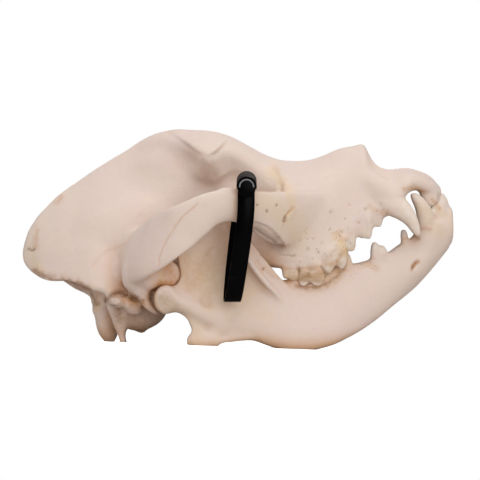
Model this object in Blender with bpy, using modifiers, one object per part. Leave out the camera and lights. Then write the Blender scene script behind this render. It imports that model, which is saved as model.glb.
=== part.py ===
"""Skull of a large dog with its lower jaw closed, resting on a table, and a tag band round its right
cheekbone.

Life size. +X points to the nose, +Y to the animal's left and +Z up; the origin is on the table under the
middle of the skull. Lengths are written in millimetres and scaled to metres when a mesh is made.
"""

import math

import bmesh
import bpy
import numpy as np
from mathutils import Euler, Matrix, Vector

MM = 0.001
GAP = 0.3

# How finely the clay shapes are sampled, how round their inner corners are and how far they are thinned.
CLAY_VOXEL = 1.3
CORE_FILLET, CRANIUM_FILLET, JAW_FILLET = 6.0, 2.4, 2.0
CRANIUM_TRIANGLES, JAW_TRIANGLES = 6220, 1520

# Where the cranium is parted: the face from the braincase by a cut that leans back as it rises, and each
# cheekbone arch by a cut along the skull's side whose distance from the middle changes with height.
FACE_CUT_X, FACE_CUT_Z, FACE_CUT_LEAN = 14.0, 75.0, math.radians(20)
ARCH_CUT_Y, ARCH_CUT_Z, ARCH_CUT_SLOPE = 44.0, 60.0, 0.36
ARCH_CUT_LOW, ARCH_CUT_HIGH = 8.0, 92.0
FAR = 300.0

# The tables are laid out on the middle plane. What lies beside it is moved out from the point above the
# origin at this level, in proportion to its distance from the plane over this length.
SPREAD, LEVEL = 2400.0, 58.2

# The shapes are laid out in the side view of a level skull. At rest it tips back about its jaw's lowest point
# until the jaw's hooked corners and the neck processes touch the table too.
REST_POINT_X = 32.0
REST_TIP = math.radians(2.2)
REST_SHIFT = (3.4, 2.0, 0.5)

# Lines of the cranium in side view, as (x, z) from back to front.
TOP = ((-118, 50), (-116.7, 57), (-114.8, 62.5), (-110.2, 70.3), (-104, 77.3), (-97, 84), (-88, 90.2),
       (-80, 96), (-71, 101.6), (-62, 106.8), (-54, 111.8), (-45, 116.2), (-36, 118.1), (-24, 118),
       (-15, 117.3), (-6, 114.8), (2, 110.5), (11, 105.3), (19, 101.9), (28, 100.7), (37, 101.3),
       (45, 103.8), (54, 107.6), (62, 108.8), (68, 109))
NOSE_RIM = ((62, 108.8), (67.6, 109), (69.4, 104), (72.8, 99.8), (77, 97.6), (82, 96.8), (86.2, 97.5),
            (90.6, 97), (94.3, 96), (97, 94.8), (100.8, 92.9), (103.5, 91), (106.2, 88.8), (107.8, 86.2),
            (109.5, 82.5))
NUCHAL_Z = ((-118, 47), (-114, 42), (-109, 39), (-104, 37), (-100, 36.4), (-91, 36.8), (-86, 35.2),
            (-82, 34.2), (-77, 32), (-72, 31), (-66, 31.4), (-60, 34), (-55, 42), (-45, 58), (-30, 71))
SKULL_BASE = ((-76, 40), (-45, 36), (-30, 37), (-15, 45), (0, 52), (12, 57), (35, 62))
GUM_UPPER = ((4, 52), (12, 45.4), (16, 44), (21, 43.8), (28, 42.6), (35, 42.2), (41, 45), (47, 50),
             (53, 57), (59, 62.2), (65, 66.3), (71, 69.4), (77, 70.4), (81, 72.5), (85, 77), (88, 82),
             (91.4, 85.4), (95, 85.6), (99, 84), (103, 82.2), (109.5, 80.4))
PALATE = ((4, 60), (20, 59), (32, 58), (45, 63), (57, 71), (71, 78.5), (83, 83), (93, 86.5),
          (109.5, 87))

# Half widths of the cranium seen from above, as (x, y).
CREST_W = ((-118, 2.4), (-100, 1.7), (-70, 1.8), (-56, 2.6), (-46, 5), (-38, 9), (-30, 14))
NUCHAL_W = ((-118, 3.5), (-114, 8), (-109, 14.5), (-100, 22), (-91, 27.5), (-84, 31.5), (-77, 34.5),
            (-72, 34.5), (-66, 32), (-55, 28), (-45, 24), (-30, 20))
FOREHEAD_W = ((-52, 6), (-44, 10), (-36, 16), (-28, 22.5), (-21, 28.5), (-17, 31), (-13, 29.5), (-8, 26),
              (0, 23), (10, 21.5), (18, 20.5), (26, 19))
FOREHEAD_DROP = ((-52, 3), (-36, 6.5), (-28, 9), (-21, 12), (-17, 14), (-13, 12), (-8, 9), (0, 7.5),
                 (26, 7.5))
ORBIT_W = ((-76, 4), (-66, 8), (-56, 13.5), (-45, 18), (-35, 19), (-25, 18), (-15, 17.5), (-5, 17.5),
           (5, 18.5), (15, 20), (25, 22), (35, 20))
NASAL_W = ((4, 13), (20, 14.5), (35, 12.5), (50, 11.5), (60, 11.5), (68, 12), (84, 13), (93, 13),
           (100, 11), (106, 7.5), (109.5, 5))
CHEEK_W = ((4, 18), (12, 26), (20, 33.6), (27, 37), (33, 35.6), (40, 32.6), (47, 28.8), (55, 24.8),
           (62, 22.4), (70, 22), (80, 23.8), (88, 24), (95, 20), (102, 16), (106, 12), (109.5, 8))
BROW_W = ((4, 17), (12, 24), (18, 30), (24, 33), (30, 31.6), (38, 28), (46, 23.6), (55, 19.8),
          (68, 17.4), (84, 18.6), (95, 16.6), (102, 13), (109.5, 6.5))
GUM_W = ((4, 22), (12, 30), (20, 35.6), (30, 37.6), (38, 37.4), (44, 36.4), (52, 32.6), (60, 29),
         (70, 26.2), (80, 25.5), (88, 26.5), (94, 22), (101, 17.5), (106, 13.5), (109.5, 9))

# The right cheekbone arch as (x, y, z, half height, half thickness), from the temporal bone to the maxilla.
ARCH = ((-57, -31, 52, 11, 5), (-51, -46.5, 53.4, 15, 4), (-44, -58, 56.4, 15.8, 3.2),
        (-35.4, -64.5, 61.6, 13.9, 3.1), (-25.8, -67, 67.8, 11.5, 3.2), (-15.3, -67.5, 74.1, 9.4, 3.4),
        (-4.8, -66, 76, 8.8, 3.8), (5.8, -61.5, 74.5, 9.8, 4.4), (14, -53.6, 72, 11.8, 5),
        (21, -44.5, 70.8, 13.6, 5.2), (27, -35, 70.8, 14.2, 5), (34, -26, 71.5, 13, 5),
        (41, -18, 73, 10, 4))

# Lines of the lower jaw in side view and its half's middle line from above.
JAW_BOTTOM = ((-14, 6.4), (-9, 6.1), (-2, 6.5), (6, 5.5), (14.7, 2.2), (23.5, 0), (31.3, -0.6), (40, 0),
              (49.3, 2.3), (57, 5.9), (66, 10.8), (75.6, 17.6), (83.6, 24.1), (92.5, 31), (100.5, 39.2),
              (110, 50.6), (113.6, 55.6), (116, 61))
JAW_TOP = ((-14, 29.4), (0, 33.3), (10, 35.3), (19.6, 36.4), (31.3, 35.8), (42, 37.7), (49.3, 41),
           (55.3, 45.8), (61.2, 46), (69, 48), (77.6, 50.8), (85.5, 56.3), (91.5, 59.3), (97, 63),
           (101.5, 67.8), (106, 73.5), (110, 77), (116, 75))
JAW_MIDDLE = ((-14, -45.5), (0, -41), (15, -36), (32, -31.5), (50, -26.5), (67, -20), (78, -15.4),
              (85, -12), (92, -7.5), (102, -5), (116, -3))
JAW_HALF_THICK = ((-14, 5.5), (0, 6.5), (15, 7.5), (50, 7.5), (67, 7), (78, 7), (85, 8.6), (92, 12.6),
                  (102, 12.6), (110, 10.4), (116, 7.6))
JAW_LEAN = ((-14, 0), (15, 3), (32, 5), (50, 4.5), (67, 2), (84, 0), (115, 0))

# Outline of the upright branch of the lower jaw in side view, as (x, z).
RAMUS = ((27, 33), (21.5, 38.2), (16.8, 43.5), (10.2, 51.5), (3, 60.8), (-4.6, 71), (-9.7, 77.7),
         (-15.5, 80.1), (-21.3, 78.1), (-26.1, 71.8), (-30, 62.7), (-32.7, 53), (-31.9, 44.3), (-31.2, 39.4),
         (-33, 35.1), (-36.8, 32.6), (-39.7, 26.5), (-34.8, 21.6), (-29.7, 19), (-26, 16.4),
         (-21.2, 12.6), (-20.6, 10), (-24.4, 8.2), (-27.6, 6.2), (-26.6, 4.4), (-21.9, 2.2), (-16.2, 1.7),
         (-13, 2.3), (-9.1, 5.2), (-4.3, 7.4), (4.5, 7.4), (23.2, 6.5), (31, 20.1))
RAMUS_THICK = 5.2
RAMUS_MIDDLE = ((-42, -50.5), (-20, -48.8), (-5, -46.4), (5, -43.6), (15, -39.4), (24, -35), (32, -31))

# The tag: a strip of flat plastic looped over the right cheekbone as (x, y, z) down its outer strand, round
# the bottom and up its inner one, with both ends in a clasp on top.
BAND = ((3.3, -72.2, 83.6), (3.1, -72.8, 74), (2.3, -72.4, 65), (1.1, -71, 56), (-0.6, -68.4, 44),
        (-2.4, -64.4, 33), (-3.6, -61.2, 27.4), (-4.2, -58.4, 26.6), (-4.2, -56.6, 28.6),
        (-3.9, -55.4, 34), (-2.8, -54.6, 46), (-1.2, -54.8, 60), (0.6, -55.6, 74), (2.2, -56.6, 83),
        (3.2, -59.4, 88.6), (3.4, -63.8, 90.6), (3.4, -67.2, 90.4))
BAND_HALF_WIDTH, BAND_HALF_THICK = 4.4, 0.55
CLASP_CENTRE = (3.4, -71.2, 84.2)
CLASP_HALF_WIDTH, CLASP_TALL, CLASP_HALF_DEEP = 5.2, 9.6, 3.6

COLOURS = {
    "bone": ((0.80, 0.71, 0.63, 1), 0.55),
    "band": ((0.012, 0.012, 0.014, 1), 0.35),
    "clasp": ((0.03, 0.028, 0.028, 1), 0.3),
}


def through(table, x):
    """The smooth line through the table's (place, value) points, read at x."""
    at, value = np.array(table, float).T
    slope = np.gradient(value, at)
    x = np.clip(x, at[0], at[-1])
    i = np.clip(np.searchsorted(at, x) - 1, 0, len(at) - 2)
    span = at[i + 1] - at[i]
    t = (x - at[i]) / span
    ease = t * t * (3 - 2 * t)
    bow = t * (1 - t)
    return (value[i] * (1 - ease) + value[i + 1] * ease
            + bow * span * (slope[i] * (1 - t) - slope[i + 1] * t))


def smooth_path(points, steps):
    """Points on the Catmull-Rom curve through the given ones, steps to each stretch."""
    p = np.array(points, float)
    p = np.vstack([2 * p[0] - p[1], p, 2 * p[-1] - p[-2]])
    made = []
    for a, b, c, d in zip(p, p[1:], p[2:], p[3:]):
        for t in np.arange(steps) / steps:
            made.append(0.5 * (2 * b + (c - a) * t + (2 * a - 5 * b + 4 * c - d) * t ** 2
                               + (3 * b - a - 3 * c + d) * t ** 3))
    return np.array([*made, p[-2]])


def new_object(name, mesh):
    obj = bpy.data.objects.new(name, mesh)
    bpy.context.scene.collection.objects.link(obj)
    return obj


def remove(objects):
    for obj in objects:
        bpy.data.objects.remove(obj)


def baked(obj, name=None):
    """A new plain mesh object from obj with its modifiers applied; obj is removed."""
    bpy.context.view_layer.update()
    graph = bpy.context.evaluated_depsgraph_get()
    mesh = bpy.data.meshes.new_from_object(obj.evaluated_get(graph))
    mesh.transform(obj.matrix_world)
    name = name or obj.name
    bpy.data.objects.remove(obj)
    return new_object(name, mesh)


def loft(name, rings):
    """A closed solid through rings of equal length, given in millimetres."""
    bm = bmesh.new()
    rows = [[bm.verts.new(Vector(p) * MM) for p in ring] for ring in rings]
    count = len(rows[0])
    for low, high in zip(rows, rows[1:]):
        for i in range(count):
            j = (i + 1) % count
            bm.faces.new((low[i], low[j], high[j], high[i]))
    bm.faces.new(rows[0])
    bm.faces.new(rows[-1])
    bmesh.ops.triangulate(bm, faces=bm.faces)
    bmesh.ops.recalc_face_normals(bm, faces=bm.faces)
    mesh = bpy.data.meshes.new(name)
    bm.to_mesh(mesh)
    bm.free()
    return new_object(name, mesh)


def half_sections(name, xs, outline):
    """A loft symmetric about the middle plane; outline(x) gives (y, z) points from top to bottom middle."""
    rings = []
    for x in xs:
        half = smooth_path(outline(x), 3)
        half[:, 0] = np.maximum(half[:, 0], 0)
        whole = np.vstack([half, half[-2:0:-1] * (-1, 1)])
        rings.append([(x, y, z) for y, z in whole])
    return loft(name, rings)


def limb(name, stations, up=(0, 0, 1), sides=14, steps=4):
    """A bent, tapered rod through (x, y, z, half height, half thickness), the height lying towards up."""
    path = smooth_path(stations, steps)
    spots, sizes = path[:, :3], np.maximum(path[:, 3:], 0.15)
    along = np.gradient(spots, axis=0)
    rings = []
    for spot, (high, thick), run in zip(spots, sizes, along):
        run = Vector(run).normalized()
        tall = Vector(up)
        tall = (tall - run * tall.dot(run)).normalized()
        wide = run.cross(tall)
        rings.append([Vector(spot) + tall * (high * math.cos(a)) + wide * (thick * math.sin(a))
                      for a in np.arange(sides) * 2 * math.pi / sides])
    return loft(name, rings)


def ball(name, centre, radii, turn=(0, 0, 0)):
    """An ellipsoid, turned by degrees about X, Y and Z."""
    bpy.ops.mesh.primitive_uv_sphere_add(segments=28, ring_count=16, radius=1)
    obj = bpy.context.object
    obj.name = name
    size = Matrix.Diagonal([r * MM for r in radii]).to_4x4()
    spin = Euler([math.radians(a) for a in turn]).to_matrix().to_4x4()
    obj.data.transform(Matrix.Translation(Vector(centre) * MM) @ spin @ size)
    return obj


def box(name, low, high):
    """A plain box between two corners, in millimetres."""
    bpy.ops.mesh.primitive_cube_add(size=1)
    obj = bpy.context.object
    obj.name = name
    low, high = Vector(low) * MM, Vector(high) * MM
    obj.data.transform(Matrix.Translation((low + high) / 2) @ Matrix.Diagonal(high - low).to_4x4())
    return obj


def other_side(obj):
    """The mirror image of obj across the middle plane."""
    mesh = obj.data.copy()
    mesh.transform(Matrix.Diagonal((1, -1, 1, 1)))
    mesh.flip_normals()
    return new_object(obj.name + "_mirrored", mesh)


def both_sides(pieces):
    return pieces + [other_side(p) for p in pieces]


def joined(name, pieces):
    """One object holding all the pieces' faces, still overlapping."""
    bm = bmesh.new()
    for piece in pieces:
        bm.from_mesh(piece.data)
    mesh = bpy.data.meshes.new(name)
    bm.to_mesh(mesh)
    bm.free()
    remove(pieces)
    return new_object(name, mesh)


def remeshed(obj, voxel):
    step = obj.modifiers.new("clay", "REMESH")
    step.mode = "VOXEL"
    step.voxel_size = voxel * MM
    return baked(obj)


def swollen(obj, by):
    step = obj.modifiers.new("swell", "DISPLACE")
    step.mid_level = 0
    step.strength = by * MM
    return baked(obj)


def softened(obj, times):
    step = obj.modifiers.new("soften", "SMOOTH")
    step.factor = 0.5
    step.iterations = times
    return baked(obj)


def clay(name, pieces, fillet, voxel=CLAY_VOXEL):
    """The pieces fused into one skin, with hollows rounded to the fillet's radius."""
    body = remeshed(joined(name, pieces), voxel)
    body = remeshed(swollen(softened(body, 2), fillet), voxel)
    return softened(remeshed(swollen(softened(body, 2), -fillet), voxel), 2)


def combined(body, others, how, solver="EXACT"):
    """body joined with, cut by or limited to the other solids, which are then removed."""
    group = bpy.data.collections.new("operands")
    bpy.context.scene.collection.children.link(group)
    for other in others:
        group.objects.link(other)
    step = body.modifiers.new("combine", "BOOLEAN")
    step.operation = how
    step.operand_type = "COLLECTION"
    step.collection = group
    step.solver = solver
    made = baked(body)
    remove(others)
    bpy.data.collections.remove(group)
    return made


def largest(obj):
    """Only the biggest closed surface of obj is kept."""
    bm = bmesh.new()
    bm.from_mesh(obj.data)
    bm.verts.ensure_lookup_table()
    seen, groups = set(), []
    for start in bm.verts:
        if start.index in seen:
            continue
        group, todo = [], [start]
        seen.add(start.index)
        while todo:
            vert = todo.pop()
            group.append(vert)
            for edge in vert.link_edges:
                near = edge.other_vert(vert)
                if near.index not in seen:
                    seen.add(near.index)
                    todo.append(near)
        groups.append(group)
    groups.sort(key=len)
    bmesh.ops.delete(bm, geom=[v for g in groups[:-1] for v in g], context="VERTS")
    bm.to_mesh(obj.data)
    bm.free()
    return obj


def thinned(obj, triangles):
    """obj with about that many triangles."""
    obj.data.calc_loop_triangles()
    step = obj.modifiers.new("thin", "DECIMATE")
    step.ratio = min(1.0, triangles / len(obj.data.loop_triangles))
    step.use_collapse_triangulate = True
    return baked(obj)


# The cranium's masses.


def vault():
    """Back of the skull between the middle crest and the neck crests."""
    def outline(x):
        top, crest = through(TOP, x), through(CREST_W, x)
        edge_y, edge_z = through(NUCHAL_W, x), through(NUCHAL_Z, x)
        flank = []
        for f in (0.14, 0.34, 0.6, 0.84):
            spread = f ** 1.12 + 0.14 * math.sin(math.pi * f)
            flank.append((crest + (edge_y - crest) * spread, top + (edge_z - top) * f))
        return [(0, top), (crest * 0.8, top - 0.6), *flank, (edge_y, edge_z + 0.8),
                (edge_y - 1.2, edge_z - 1.2), (edge_y * 0.55, edge_z + 2.4), (0, edge_z + 1.5)]
    return half_sections("vault", np.linspace(-117.4, -30, 36), outline)


def forehead():
    """Roof over the eye sockets, with the two processes behind them."""
    def outline(x):
        top, wide, drop = through(TOP, x), through(FOREHEAD_W, x), through(FOREHEAD_DROP, x)
        return [(0, top - 1.2), (wide * 0.32, top), (wide * 0.7, top - drop * 0.42),
                (wide * 0.93, top - drop * 0.8), (wide, top - drop - 1.5), (wide - 2, top - drop - 4.5),
                (wide * 0.62, top - drop - 11), (wide * 0.3, top - drop - 17), (0, top - drop - 18)]
    return half_sections("forehead", np.linspace(-52, 26, 34), outline)


def socket_wall():
    """Narrow middle of the skull between the eye sockets."""
    def outline(x):
        top, wide, base = through(TOP, x) - 10, through(ORBIT_W, x), through(SKULL_BASE, x)
        tall = top - base
        return [(0, top), (wide * 0.75, top - 1), (wide, top - tall * 0.3), (wide * 0.9, top - tall * 0.62),
                (wide * 0.62, base + tall * 0.12), (wide * 0.35, base + 0.5), (0, base)]
    return half_sections("socket_wall", np.linspace(-76, 35, 40), outline)


def snout():
    """Upper jaw and nose bones, solid before the nose is opened."""
    def outline(x):
        top = through(NOSE_RIM if x > 62 else TOP, x)
        nose, cheek, gum = through(NASAL_W, x), through(CHEEK_W, x), through(GUM_W, x)
        brow = through(BROW_W, x)
        gum_z, roof = through(GUM_UPPER, x), through(PALATE, x)
        middle = gum_z + (top - gum_z) * 0.52
        inner = max(gum - 12, 5)
        return [(0, top - 0.5), (nose * 0.55, top), (nose * 0.95, top - 2.6),
                (brow, top * 0.6 + middle * 0.4 - 1), (cheek, middle),
                (cheek * 0.45 + gum * 0.55, middle * 0.5 + gum_z * 0.5), (gum, gum_z + 4),
                (gum - 1.2, gum_z), ((gum + inner) / 2, gum_z - 0.3), (inner + 0.8, gum_z + 1.2),
                (inner - 2.5, roof - 1.5),
                (0, roof)]
    return half_sections("snout", np.linspace(6, 109, 54), outline)


def skull_base():
    """Bar under the brain, the joint knobs with the neck, and the bony ear bulbs."""
    bar = limb("base_bar", ((-76, 0, 15, 5, 12), (-60, 0, 19, 6, 12), (-40, 0, 27, 7, 11),
                            (-15, 0, 40, 8, 9)))
    back = ball("back_of_base", (-70, 0, 27), (11, 24, 12))
    knob = ball("neck_knob", (-73, -13, 13.6), (6, 7.8, 11.4), (0, -14, 14))
    bulb = ball("ear_bulb", (-52, -20, 20.6), (14, 11.5, 10.4), (0, -20, 8))
    spur = limb("bulb_spur", ((-55, -18, 14, 2.6, 2.4), (-53.8, -17, 10, 1.8, 2),
                              (-50.4, -16.5, 8.8, 1, 1.4)), up=(1, 0, 0))
    return [bar, back, *both_sides([knob, bulb, spur])]


def ear_region():
    """Mastoid knob, the long process in front of the neck joint and the ear opening's lip."""
    mastoid = ball("mastoid", (-64.6, -37, 27.4), (4.6, 4.4, 3.8), (0, 14, 0))
    stalk = limb("neck_process", ((-67.6, -31, 27, 5.4, 4.2), (-65.6, -30.6, 20, 4.2, 3.2),
                                  (-64.2, -29.6, 12, 3.2, 2.4), (-63, -28.4, 6, 2.5, 2),
                                  (-61.4, -27.6, 1.6, 2.4, 1.8)),
                 up=(1, 0, 0))
    lip = limb("ear_lip", ((-56.5, -24, 26, 7, 7), (-56, -33, 24.6, 5.6, 6), (-55.8, -38, 23.2, 3.8, 4)))
    return both_sides([mastoid, stalk, lip])


def canine_root():
    """The swelling of the upper jaw over each canine's root."""
    return both_sides([limb("canine_root", ((56, -15.6, 91.5, 6, 4), (68, -18.6, 87.6, 8, 4.8),
                                            (76, -21, 82.8, 8, 5.2), (82.4, -22.8, 78, 6.8, 4.8)))])


def jaw_joint():
    """Root of each arch, the joint's bar and lip, and the blade that curls down behind the joint."""
    bar = limb("joint_bar", ((-52, -28, 44, 6, 7), (-50, -44, 44.5, 5.5, 7), (-48, -54, 46, 5.5, 6)))
    root = ball("arch_root", (-51.5, -43.5, 46.5), (10.2, 11.5, 17), (0, 25, 0))
    blade = limb("joint_blade", ((-54, -43.5, 36, 5.6, 6.6), (-52.2, -43.8, 30.4, 4.8, 7),
                                 (-49.2, -44.4, 24.8, 3.2, 6.6), (-45.6, -45, 20.2, 1.7, 5.4),
                                 (-42.8, -45.4, 18.4, 0.9, 3.6)), up=(1, 0, 0.4))
    lip = limb("joint_lip", ((-38.6, -34, 43, 5, 4.6), (-37.2, -44, 42.4, 5.8, 5),
                             (-36.6, -50.6, 42, 5.6, 4.6), (-36.6, -52.4, 42, 4, 3.4)))
    return both_sides([bar, root, blade, lip])


def arch():
    """The two cheekbone arches, each with the small peak behind the eye."""
    bow = limb("arch", ARCH, up=(0.28, 0, 1), sides=18)
    peak = limb("arch_peak", ((-5.5, -66.8, 78.5, 8, 3.2), (-5.8, -66.5, 82.4, 7, 2.7),
                              (-6.2, -66.2, 84.8, 5.4, 1.8), (-6.2, -66, 85.6, 4.2, 0.9)), up=(1, 0, 0))
    return both_sides([bow, peak])


def throat_walls():
    """Thin upright plates under the eye sockets, either side of the throat's air passage."""
    plate = limb("throat_wall", ((-32, -10.8, 38, 7, 2), (-18, -11.8, 43, 8, 2), (-4, -13, 49.5, 8.5, 2),
                                 (10, -14.8, 55.5, 8, 2.3), (20, -16, 58, 6, 4)))
    return both_sides([plate])


def cranium_hollows():
    """Cutters for the nose, the throat's air passage, the brain's opening, the ears and the eye sockets."""
    nose = limb("nose_hollow", ((112, 0, 107.3, 9, 8), (100, 0, 102.6, 9.6, 9), (88, 0, 98.6, 10.4, 9.8),
                                (74, 0, 94.8, 11.6, 9.3), (60, 0, 92, 12, 8.6), (50, 0, 89, 8, 6)), sides=18)
    throat = limb("throat_hollow", ((-30, 0, 33, 4, 7), (-14, 0, 46, 7, 8), (0, 0, 61, 8, 8.6),
                                    (12, 0, 71, 7.5, 8.6), (28, 0, 75, 6, 7)))
    brain = limb("brain_hollow", ((-98, 0, 7, 8, 9.5), (-80, 0, 20, 8, 9.3), (-66, 0, 31, 10, 10),
                                  (-56, 0, 39, 5, 5)))
    ear = ball("ear_hollow", (-55.6, -42, 26.6), (4, 5, 1.6), (0, 22, 0))
    socket = ball("socket_hollow", (3.4, -40, 92.6), (19.4, 21, 13.4), (14, 14, -14))
    return [nose, throat, brain, *both_sides([ear, socket])]


def cranium():
    """The skull without its lower jaw and teeth, as one solid."""
    bulge = ball("brain_bulge", (-60, 0, 58), (41, 31.5, 32), (0, -18, 0))
    core = clay("core", [vault(), bulge, forehead(), socket_wall(), snout()], CORE_FILLET)
    pieces = [core, *skull_base(), *ear_region(), *jaw_joint(), *arch(), *throat_walls(), *canine_root()]
    body = clay("cranium", pieces, CRANIUM_FILLET)
    body = combined(body, cranium_hollows(), "DIFFERENCE")
    body = softened(remeshed(body, CLAY_VOXEL), 3)
    return thinned(largest(body), CRANIUM_TRIANGLES)


# Teeth. A crown is one or more tapered cusps, each (root, tip, long, wide): its middle line's two ends, and
# its size along and across the jaw where it leaves the bone.
UPPER_TEETH = (
    ((102, -2.9, 87), (105.6, -3, 79.4), 6.8, 4.8),
    ((101.6, -8, 87), (105.2, -8.2, 78.6), 7.4, 5),
    ((99.6, -12.2, 88), (103, -13, 77.6), 9.6, 5.8),
    ((72.8, -23, 74), (72.8, -23.2, 65.6), 5.4, 4.6),
    ((67.8, -24.6, 70), (68.4, -25, 58.8), 4.8, 4.6),
    ((63.6, -25.4, 69), (63.6, -25.8, 60.4), 6, 5),
    ((57.6, -27.4, 66), (59.4, -27.8, 52), 6.6, 5.6),
    ((54, -30.2, 60), (53.8, -30.8, 42.6), 6.8, 6),
    ((50.4, -31.8, 56), (50.2, -32.2, 44.6), 8, 6),
    ((46.8, -33.2, 54), (46.6, -33.8, 40.4), 7.6, 5.8),
    ((40.2, -34.2, 46), (40.4, -35.6, 34.4), 8.8, 7.4),
    ((33.4, -34.6, 45.4), (33.4, -36, 36), 6.4, 7),
    ((37.4, -30.4, 46), (37.4, -29.4, 37.6), 10, 10),
    ((28.6, -34.8, 45), (28.8, -35.2, 37.2), 6, 6.4),
    ((25, -34, 45), (25.2, -34.2, 38.4), 5, 5.4),
    ((27, -30, 45.5), (27, -29.4, 41.4), 7.4, 8),
)
LOWER_TEETH = (
    ((112, -2.5, 72), (108.9, -2.7, 84.2), 6.6, 4.8),
    ((111.2, -6.9, 71), (108.4, -7.5, 83.2), 6.8, 5),
    ((107.4, -10.6, 70), (106.2, -10.8, 77), 8.4, 5.4),
    ((88.2, -15, 57), (87.4, -15.4, 63.2), 4.2, 4),
    ((76.2, -18.2, 47), (75.8, -18.6, 54), 5.8, 4.8),
    ((72, -19.4, 46), (71.2, -19.8, 55.4), 5, 4.6),
    ((56.6, -24, 42.5), (55.2, -24.2, 52.4), 7.4, 5.4),
    ((51, -25.2, 40), (50.4, -25.4, 48), 7, 4.8),
    ((45.2, -27, 36.5), (44.8, -27, 43), 9.6, 6.4),
    ((37.8, -29.4, 34.5), (37.4, -30, 36), 10, 7),
    ((29, -29, 33.6), (29, -29.2, 39.2), 9, 5.4),
    ((22.8, -30, 33.4), (22.8, -30.2, 37.4), 5, 4.4),
)
# The right canines as (x, y, z, half length, half width) from the root to the tip.
UPPER_CANINE = ((75, -20.6, 82.4, 6.4, 4.2), (81.6, -23, 77.2, 6.6, 4.8), (86.9, -24.8, 73, 5.4, 4.3),
                (90.6, -25.7, 68.3, 3.9, 3.3), (93, -26.3, 64, 2.6, 2.3), (94.4, -26.6, 61.2, 1.6, 1.5),
                (94.8, -26.6, 60, 0.8, 0.8))
LOWER_CANINE = ((100.4, -12.4, 60, 4.8, 4.8), (99.9, -14, 66, 4.7, 4.6), (98.9, -15.6, 71.8, 4.4, 4.2),
                (96.9, -17.1, 77, 3.6, 3.5), (94.4, -18.4, 81, 2.5, 2.5), (92.3, -19.4, 83.5, 0.9, 0.9))


def cusp(name, root, tip, long, wide):
    """One pointed cusp with rounded sides."""
    stations = []
    for t, size in ((0, 1), (0.45, 0.93), (0.8, 0.6), (1, 0.25)):
        stations.append((*Vector(root).lerp(Vector(tip), t), long / 2 * size, wide / 2 * size))
    return limb(name, stations, up=(1, 0, 0), sides=7, steps=1)


def crowns(cusps, canine):
    """Every cusp of the right side's teeth, as overlapping closed solids."""
    return [limb("canine", canine, up=(1, 0, 0), sides=10, steps=2),
            *(cusp(f"cusp_{n}", *one) for n, one in enumerate(cusps))]


# The lower jaw.


def jaw_body():
    """Tooth-bearing part of the right half, from the upright branch to the chin."""
    rings = []
    for x in np.linspace(-13, 114.6, 44):
        low, high = through(JAW_BOTTOM, x), through(JAW_TOP, x)
        y, thick, lean = through(JAW_MIDDLE, x), through(JAW_HALF_THICK, x), through(JAW_LEAN, x)
        middle, tall = (low + high) / 2, (high - low) / 2
        ring = []
        for a in np.arange(20) * math.pi / 10:
            up, out = math.cos(a), math.sin(a)
            flat = abs(out) ** 0.75 * math.copysign(1, out)
            ring.append((x, y + lean * up * 0.8 + thick * flat * (1 - 0.12 * up), middle + tall * up))
        rings.append(ring)
    return loft("jaw_body", rings)


def ramus():
    """Upright branch: a plate cut to its outline, toed in towards the chin."""
    outline = smooth_path([*RAMUS, RAMUS[0]], 2)[:-1]
    rings = []
    for side, inset in ((-1, 0.85), (-0.6, 0.0), (0.6, 0.0), (1, 0.85)):
        centre = outline.mean(0)
        inward = outline - centre
        shape = outline - inward / np.linalg.norm(inward, axis=1)[:, None] * inset
        ring = []
        for x, z in shape:
            ring.append((x, through(RAMUS_MIDDLE, x) + side * RAMUS_THICK / 2, z))
        rings.append(ring)
    return loft("ramus", rings)


def jaw_processes():
    """Hinge roller and neck, ridges round the chewing muscle's hollow, hooked corner, canine's bulge."""
    roller = limb("roller", ((-40.5, -33.5, 27, 5, 4), (-40, -42, 27, 6.8, 5.6),
                             (-38.8, -52, 27.2, 7.8, 6.1), (-38.6, -57, 27.2, 7.8, 6.2),
                             (-38.6, -58.8, 27.2, 6.6, 5)))
    neck = limb("roller_neck", ((-38, -53.5, 26.8, 6.6, 4.6), (-30.5, -52, 26, 6, 4.2),
                                (-22, -49.8, 24, 5.6, 3)))
    lower_ridge = limb("lower_ridge", ((-41, -57.4, 31, 2.4, 2.2), (-35.5, -57.4, 28.2, 3, 3.2),
                                       (-27, -54.4, 23.6, 3.2, 3.4), (-16, -51.2, 18, 3, 2.8),
                                       (-4, -47.8, 12.4, 2.8, 2.2)))
    front_ridge = limb("front_ridge", ((-14, -48.5, 75, 2.4, 2.2), (-5.5, -48.6, 62, 2.2, 2.8),
                                       (3.6, -48.2, 48.2, 2.2, 3.4), (11, -46.2, 38.6, 2.2, 3.4),
                                       (17.4, -42.8, 31.2, 1.8, 2.2), (24.4, -38.8, 23.6, 0.8, 0.8)))
    hook = limb("hook", ((-12, -47.5, 6, 4.2, 3.2), (-19, -49, 5.4, 4.6, 3.4), (-25, -49.5, 5.2, 3.2, 2.6),
                         (-28.6, -49.3, 5.6, 1.8, 1.6)))
    bulge = limb("canine_bulge", ((93, -11.5, 44, 7, 6), (98.6, -12, 54, 8, 6.6),
                                  (101.6, -12.4, 63, 7.4, 5.8), (103.4, -12.4, 69.4, 5.4, 4.6)),
                 up=(1, 0, 0))
    return [roller, neck, lower_ridge, front_ridge, hook, bulge]


def jaw_half():
    """Right half of the lower jaw, cut flat where it meets the left one."""
    body = clay("jaw", [jaw_body(), ramus(), *jaw_processes()], JAW_FILLET, CLAY_VOXEL * 0.8)
    hollow = ball("muscle_hollow", (-9, -58.6, 42), (18, 10, 22), (0, 28, -9))
    middle = box("left_of_middle", (60, -GAP / 2, -20), (130, 30, 110))
    body = combined(body, [hollow, middle], "DIFFERENCE")
    return thinned(largest(body), JAW_TRIANGLES)


# The tag.


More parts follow.
